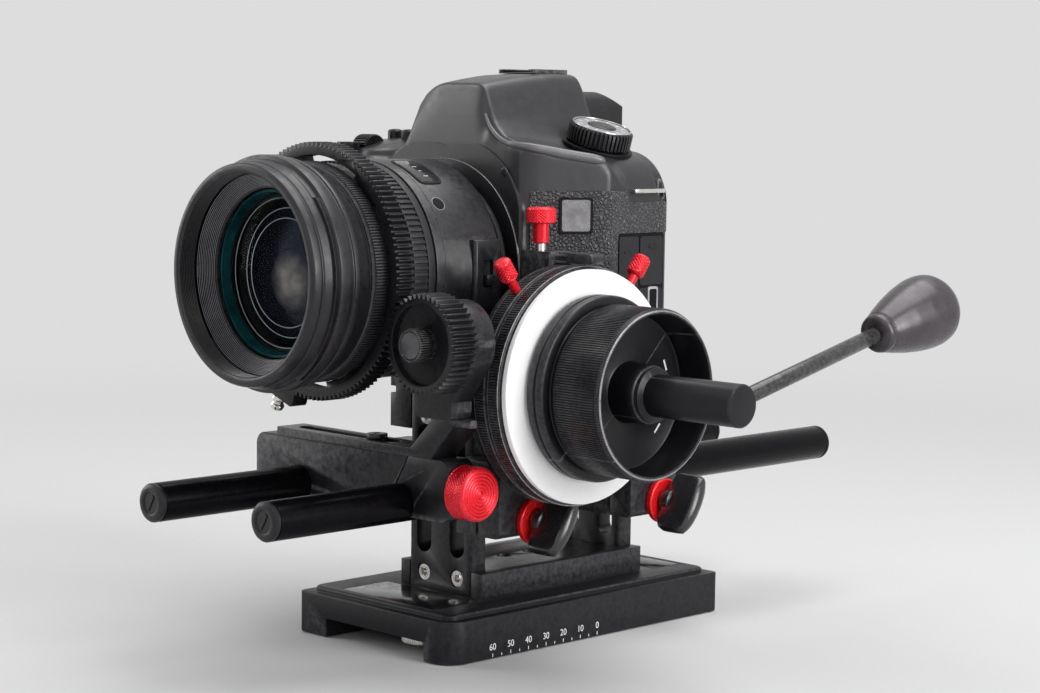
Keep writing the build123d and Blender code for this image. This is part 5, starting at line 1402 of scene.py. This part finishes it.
def make_body_shell():
    """The camera's shell and covers as one softened form."""
    build = bmesh.new()
    for node in ("camera_shell", "camera_back_cover", "port_cover"):
        build.from_mesh(frame["nodes"][node].data)
    vertices, faces = make_top_form()
    top = bpy.data.meshes.new("top_form")
    top.from_pydata([tuple(Vector(v) * MM) for v in vertices], [], faces)
    build.from_mesh(top)
    bmesh.ops.recalc_face_normals(build, faces=build.faces)
    mesh = bpy.data.meshes.new("camera_body")
    build.to_mesh(mesh)
    build.free()
    made = bpy.data.objects.new("camera_body", mesh)
    bpy.context.scene.collection.objects.link(made)
    remesh = made.modifiers.new("whole", "REMESH")
    remesh.mode = "VOXEL"
    remesh.voxel_size = BODY_VOXEL * MM
    whole = apply_modifiers(made)
    for vertex in whole.vertices:
        place = vertex.co / MM
        if place.x > SLANT_FROM_X and place.y < SLANT_TO_Y:
            spot = hold_slant(Vector((place.x, place.y)))
            vertex.co = Vector((spot.x, spot.y, place.z)) * MM
    even = made.modifiers.new("even", "SMOOTH")
    even.factor = 0.5
    even.iterations = 5
    whole = apply_modifiers(made)
    bpy.data.objects.remove(made)
    shell_nodes = ("camera_shell", "camera_top_cover", "camera_back_cover", "port_cover")
    body = dress(whole, "camera_body_form", "rig", "camera_shell", replaces=shell_nodes,
                 angle=radians(80))
    make_leather(body.data)


BODY_VOXEL = 0.8


UPWARD = 0.75                  # a face whose normal rises more is on top
MIRROR_BOX_SIDE_X = 44.3
LUG_FRONT_Y, LUG_REAR_Y, LUG_FOOT_Z = -2.2, 20.8, 178.4
PORTS_FRONT_Y, PORTS_TOP_Z = -7.6, 166.2
GRIP_X, GRIP_REAR_Y = -52.0, 12.0


def on_side(place, normal):
    """Whether a face is under the leather of the follow focus side."""
    mirror_box_wall = place.x < MIRROR_BOX_SIDE_X and normal.x > 0.6 and place.y < -30
    if place.y < -44.0 or normal.z > UPWARD or mirror_box_wall:
        return False
    lug_recess = LUG_FRONT_Y < place.y < LUG_REAR_Y and place.z > LUG_FOOT_Z
    ports = place.y > PORTS_FRONT_Y and place.z < PORTS_TOP_Z
    return place.x > 44.0 and not lug_recess and not ports and place.y < 21.0


def on_grip(place, normal):
    """Whether a face is under the leather of the grip."""
    return place.x < GRIP_X and place.y < GRIP_REAR_Y and abs(normal.z) < UPWARD


LEATHERS = (
    ("side", on_side, (
        ((44.2, 0, 0), (1, 0, 0)), ((0, 0, 112.9), (0, 0, 1)), ((0, 0, 183.0), (0, 0, 1)),
        ((0, LUG_FRONT_Y, 0), (0, 1, 0)), ((0, LUG_REAR_Y, 0), (0, 1, 0)),
        ((0, 0, LUG_FOOT_Z), (0, 0, 1)), ((0, PORTS_FRONT_Y, 0), (0, 1, 0)),
        ((0, 0, PORTS_TOP_Z), (0, 0, 1)),
    )),
    ("grip", on_grip, (
        ((GRIP_X, 0, 0), (1, 0, 0)), ((0, GRIP_REAR_Y, 0), (0, 1, 0)), ((0, 0, 114.0), (0, 0, 1)),
        ((0, 0, 182.0), (0, 0, 1)),
    )),
)


def make_leather(body):
    """Pebbled leather laid over the body, cut out of the body's own form."""
    for name, inside, cuts in LEATHERS:
        build = bmesh.new()
        build.from_mesh(body)
        for point, across in cuts:
            bmesh.ops.bisect_plane(
                build, geom=build.verts[:] + build.edges[:] + build.faces[:], dist=1e-6,
                plane_co=Vector(point) * MM, plane_no=across)
        heights = [point[2] for point, across in cuts if across[2]]
        low, high = min(heights), max(heights)
        spare = []
        for face in build.faces:
            place = face.calc_center_median() / MM
            if not (low < place.z < high and inside(place, face.normal)):
                spare.append(face)
        bmesh.ops.delete(build, geom=spare, context="FACES")
        mesh = bpy.data.meshes.new(f"leather_{name}")
        build.to_mesh(mesh)
        build.free()
        made = dress(mesh, f"camera_leather_{name}", "rig", "black_rubber", leather,
                     angle=radians(60))
        thick = made.modifiers.new("thick", "SOLIDIFY")
        thick.thickness = 0.5 * MM
        thick.offset = 1.0
        mesh = apply_modifiers(made)
        mesh.polygons.foreach_set("use_smooth", [True] * len(mesh.polygons))
        mesh.set_sharp_from_angle(angle=radians(60))


def slab(outline, thick, place):
    """A flat plate with a small bevelled edge: outline corners (u, v), thickness along +w."""
    vertices, loops = [], []
    centre = sum((Vector(p) for p in outline), Vector((0, 0))) / len(outline)
    for height, inset in ((0.0, 0.0), (thick - 0.15, 0.0), (thick, 0.15)):
        loop = []
        for point in outline:
            spot = Vector(point)
            if inset:
                spot += (centre - spot).normalized() * inset
            loop.append(len(vertices))
            vertices.append(place @ Vector((spot.x, spot.y, height)))
        loops.append(loop)
    return vertices, skin(loops)


def round_corners(width, height, radius, steps=5):
    """Corners of a rounded rectangle centred on the origin."""
    corners = []
    for quarter, (x, y) in enumerate(((1, 1), (-1, 1), (-1, -1), (1, -1))):
        for step in range(steps + 1):
            turn = pi / 2 * (quarter + step / steps)
            corners.append((x * (width / 2 - radius) + radius * cos(turn),
                            y * (height / 2 - radius) + radius * sin(turn)))
    return corners


def facing(origin, out, up=(0, 0, 1)):
    """A plate's place: its own u to the right, v up and w outwards."""
    out = Vector(out).normalized()
    up = (Vector(up) - out * Vector(up).dot(out)).normalized()
    side = up.cross(out)
    turn = Matrix((side, up, out)).transposed().to_4x4()
    return Matrix.Translation(origin) @ turn


def make_body_details():
    """The blank badge, the mirror box's face, the ports and the small parts on the body."""
    run = (SLANT_END - SLANT_START).normalized()
    out = (run.y, -run.x, 0.0)
    spot = SLANT_START + run * BADGE_ALONG
    place = facing((spot.x, spot.y, BADGE_Z), out)
    for name, width, height, rounding, thick, material in (
        ("badge_plate_frame", 13.8, 14.4, 1.2, 0.9, inner_black),
        ("badge_plate_blank", 11.6, 12.4, 0.9, 1.05, badge_grey),
    ):
        plate = slab(round_corners(width, height, rounding), thick, place)
        piece(name, *plate, "rig", "black_plastic", material)

    front = MIRROR_BOX_FRONT
    spokes = [Vector((sin(turn), cos(turn))) for turn, level in plain(72)]
    rim = [mirror_box_edge(away) for away in spokes]
    hole = [away * MOUNT_HOLE for away in spokes]
    vertices, faces, loops = [], [], []
    steps = ((rim, 1.0, -1.6), (rim, 1.0, 0.35), (rim, 0.992, 0.7), (hole, 1.0, 0.7),
             (hole, 1.0, -1.6))
    for line, share, proud in steps:
        loops.append(add_loop(vertices, [
            Vector((point.x * share, front - proud, LENS_Z + point.y * share)) for point in line]))
    for low, high in zip(loops, loops[1:] + loops[:1]):
        faces += bridge(low, high)
    piece("mirror_box_face", vertices, faces, "rig", "camera_shell")
    ring = [(front - 1.0, 42.7), (front - 1.2, 42.8), (front - 1.0, 42.95), (front - 0.4, 43.0),
            (front - 0.4, 42.6)]
    turned_piece("mount_edge", ring, place_y(0, LENS_Z), "rig", "steel", plain(160), ring=True,
                 material=edge_bright)
    screws = []
    for x, z in ((33.8, 190.0), (-33.8, 190.0)):
        head = soften([(front - 1.15, 0.0), (front - 1.15, 1.6), (front - 0.5, 2.0),
                       (front - 0.5, 0.0)], 0.2)
        screws.append(turned(head, place_y(x, z), plain(32)))
    joined("mirror_box_screws", screws, "rig", "dark_steel")
    make_crease()
    make_deck_controls()
    make_ports()
    make_dial_marks()


MIRROR_BOX_FRONT = -43.0
MOUNT_HOLE = 36.0
LENS_Z = 151.7
BADGE_ALONG = 20.0
BADGE_Z = 173.3


def make_deck_controls():
    """The main dial and two buttons on the grip side's deck."""
    rows = [(-76.0, 0.0), (-76.0, 5.8), (-75.4, 6.4, 0.8), (-67.6, 6.4, 0.8), (-67.0, 5.8),
            (-67.0, 0.0)]
    turned_piece("main_dial", rows, place_x(-21.0, 196.6), "rig", "black_plastic",
                 ribs(36, 0.4, 0.14))
    buttons = []
    for x, y in ((-56.0, -12.0), (-69.0, -8.0)):
        rows = [(199.0, 0.0), (199.0, 3.2), (204.2, 3.2), (204.9, 2.7), (205.2, 1.6), (205.3, 0.0)]
        buttons.append(turned(rows, place_z(x, y), plain(40)))
    joined("deck_buttons", buttons, "rig", "black_plastic")


CREASE = (
    (20.8, -41.6, 212.6), (24.0, -42.0, 207.6), (29.0, -42.3, 203.4), (34.0, -42.2, 201.2),
    (39.5, -41.8, 200.4), (44.0, -39.3, 199.8), (47.3, -34.2, 198.7), (51.5, -27.4, 197.2),
    (56.0, -20.2, 195.9), (60.0, -13.8, 194.8),
)


def make_crease():
    """The rounded crease over the slanted front, thickening to a nub at its end, in a lighter copy of the
    shell's finish: a painted highlight along the crease.
    """
    spine = smooth_chain(CREASE, 6)
    count = 20
    vertices, rings = [], []
    last = len(spine) - 1
    for n, spot in enumerate(spine):
        ahead = (spine[min(last, n + 1)] - spine[max(0, n - 1)]).normalized()
        side = ahead.cross(Vector((0, 0, 1))).normalized()
        above = side.cross(ahead)
        size = 0.5 + 1.5 * min(1.0, n / (last * 0.75))
        if last - n < 5:
            size *= sqrt(max(0.02, 1 - (1 - (last - n) / 5) ** 2))
        turns = [2 * pi * step / count for step in range(count)]
        rings.append(add_loop(vertices, [
            spot + side * cos(turn) * size * 0.8 + above * sin(turn) * size for turn in turns]))
    # the crease's lighter colour is a painted highlight
    piece("camera_crease", vertices, skin(rings), "rig", "camera_shell", crease_painted_highlight,
          angle=radians(80))


def mirror_box_edge(away):
    """Where the mirror box's face ends in a direction from the lens axis."""
    reach = 60.0
    if abs(away.x) > 1e-6:
        reach = min(reach, 42.6 / abs(away.x))
    if away.y < -1e-6:
        reach = min(reach, 38.0 / -away.y)
    if away.y > 0:
        centre = Vector((11.5 if away.x > 0 else -11.5, 17.8))
        ahead = away.dot(centre)
        gap = centre.length_squared - 32.0**2
        arc = ahead + sqrt(max(0.0, ahead**2 - gap))
        reach = min(reach, arc)
        reach = min(reach, 49.3 / away.y)
    return away * reach


def make_ports():
    """Two rubber port doors with finger lips over a dark recess, and a socket below."""
    x = SIDE_X
    mid_y, mid_z = 6.2, 140.4
    backing = slab(round_corners(27.2, 51.2, 1.2), 0.14, facing((x - 0.05, mid_y, mid_z), (1, 0, 0)))
    piece("port_recess", *backing, "rig", "black_rubber", inner_black)
    doors = [
        slab(round_corners(11.4, 48.8, 1.4), 0.42, facing((x, -1.2, mid_z), (1, 0, 0))),
        slab(round_corners(13.6, 19.6, 1.6), 0.42, facing((x, 12.2, 154.9), (1, 0, 0))),
        slab(round_corners(13.6, 28.0, 1.6), 0.34, facing((x, 12.2, 130.0), (1, 0, 0))),
    ]
    doors += [
        slab(round_corners(4.6, 1.0, 0.45), 0.75, facing((x, -1.6, 158.6), (1, 0, 0))),
        slab(round_corners(5.2, 1.3, 0.55), 0.80, facing((x, 13.2, 160.6), (1, 0, 0))),
    ]
    joined("port_doors", doors, "rig", "black_rubber")
    outer = slab(round_corners(6.0, 13.6, 1.0), 0.55, facing((x, 13.4, 137.6), (1, 0, 0)))
    piece("port_socket_frame", *outer, "rig", "black_plastic", ridge_highlight_and_socket_grey)
    inner = slab(round_corners(4.4, 11.8, 0.8), 0.62, facing((x, 13.4, 137.6), (1, 0, 0)))
    piece("port_socket", *inner, "rig", "black_plastic", inner_black)


def make_dial_marks():
    """A dark ring round the mode dial's foot."""
    place = Matrix.Translation(DIAL_PLACE) @ Matrix.Rotation(radians(DIAL_TILT), 4, "Y")
    foot = soften([(-5.0, 12.2), (-5.0, 14.4), (-3.2, 14.4), (-2.8, 14.0), (-2.8, 12.2)], 0.3,
                  ring=True)
    turned_piece("mode_dial_foot", foot, place, "rig", "camera_shell", plain(96), ring=True,
                 material=inner_black)


def make_body_parts():
    refine_all(
        ("hot_shoe", 0.15, 2), ("eyecup", 1.2, 3), ("rear_screen", 0.5, 2), ("strap_lugs", 0.2, 2),
        ("lens_release", 0.35, 2), ("shutter_button", 0.35, 2), ("set_button", 0.35, 2))
    make_mode_dial()


def make_mode_dial():
    place = Matrix.Translation(DIAL_PLACE) @ Matrix.Rotation(radians(DIAL_TILT), 4, "Y")
    rows = [(-9.5, 0.0), (-9.5, 2.5), (-2.6, 2.5), (-2.6, 11.9), (-2.3, 12.5), (-1.9, 13.1, 0.85),
            (3.7, 13.1, 0.85), (4.2, 12.8, 0.5), (4.6, 12.3), (5.05, 12.15), (5.05, 11.5),
            (4.8, 11.3), (4.8, 6.0), (5.2, 5.6), (5.45, 5.0), (5.55, 3.0), (5.55, 0.0)]
    turned_piece("mode_dial_ribbed", rows, place, "mode_dial", "black_plastic", ribs(46, 0.5, 0.14),
                 replaces=("mode_dial",))
    face = [(4.7, 5.9), (4.7, 11.2), (4.88, 11.1), (4.88, 6.0)]
    turned_piece("mode_dial_face", face, place, "mode_dial", "black_plastic", plain(96), ring=True,
                 material=dial_top)
    rim = [(4.9, 11.45), (4.95, 12.2), (5.25, 12.0), (5.25, 11.6)]
    turned_piece("mode_dial_rim", rim, place, "mode_dial", "dark_steel", plain(96), ring=True,
                 material=rim_bright)
    marks = []
    for n in range(12):
        turn = 2 * pi * n / 12
        outward = Vector((cos(turn), sin(turn), 0))
        spot = outward * 9.0 + Vector((0, 0, 4.86))
        marks.append(flat_bar(spot - outward * 0.9, spot + outward * 0.9, 0.5, 0.06, (0, 0, 1)))
    vertices, faces = join_parts(marks)
    vertices = [place @ Vector(v) for v in vertices]
    piece("mode_dial_marks", vertices, faces, "mode_dial", "white_plastic", white_paint)


DIAL_PLACE = (40.4, 3.5, 203.4)
DIAL_TILT = 16.4


make_support()
make_plate()
make_rods()
make_wing_knobs()
make_red_parts()
make_stop_rings()
make_disc()
make_handwheel()
make_crank()
make_gears()
make_lens()
make_body_shell()
make_body_parts()
make_body_details()
make_rest()
make_stage()
make_world()
make_lights()
make_camera()
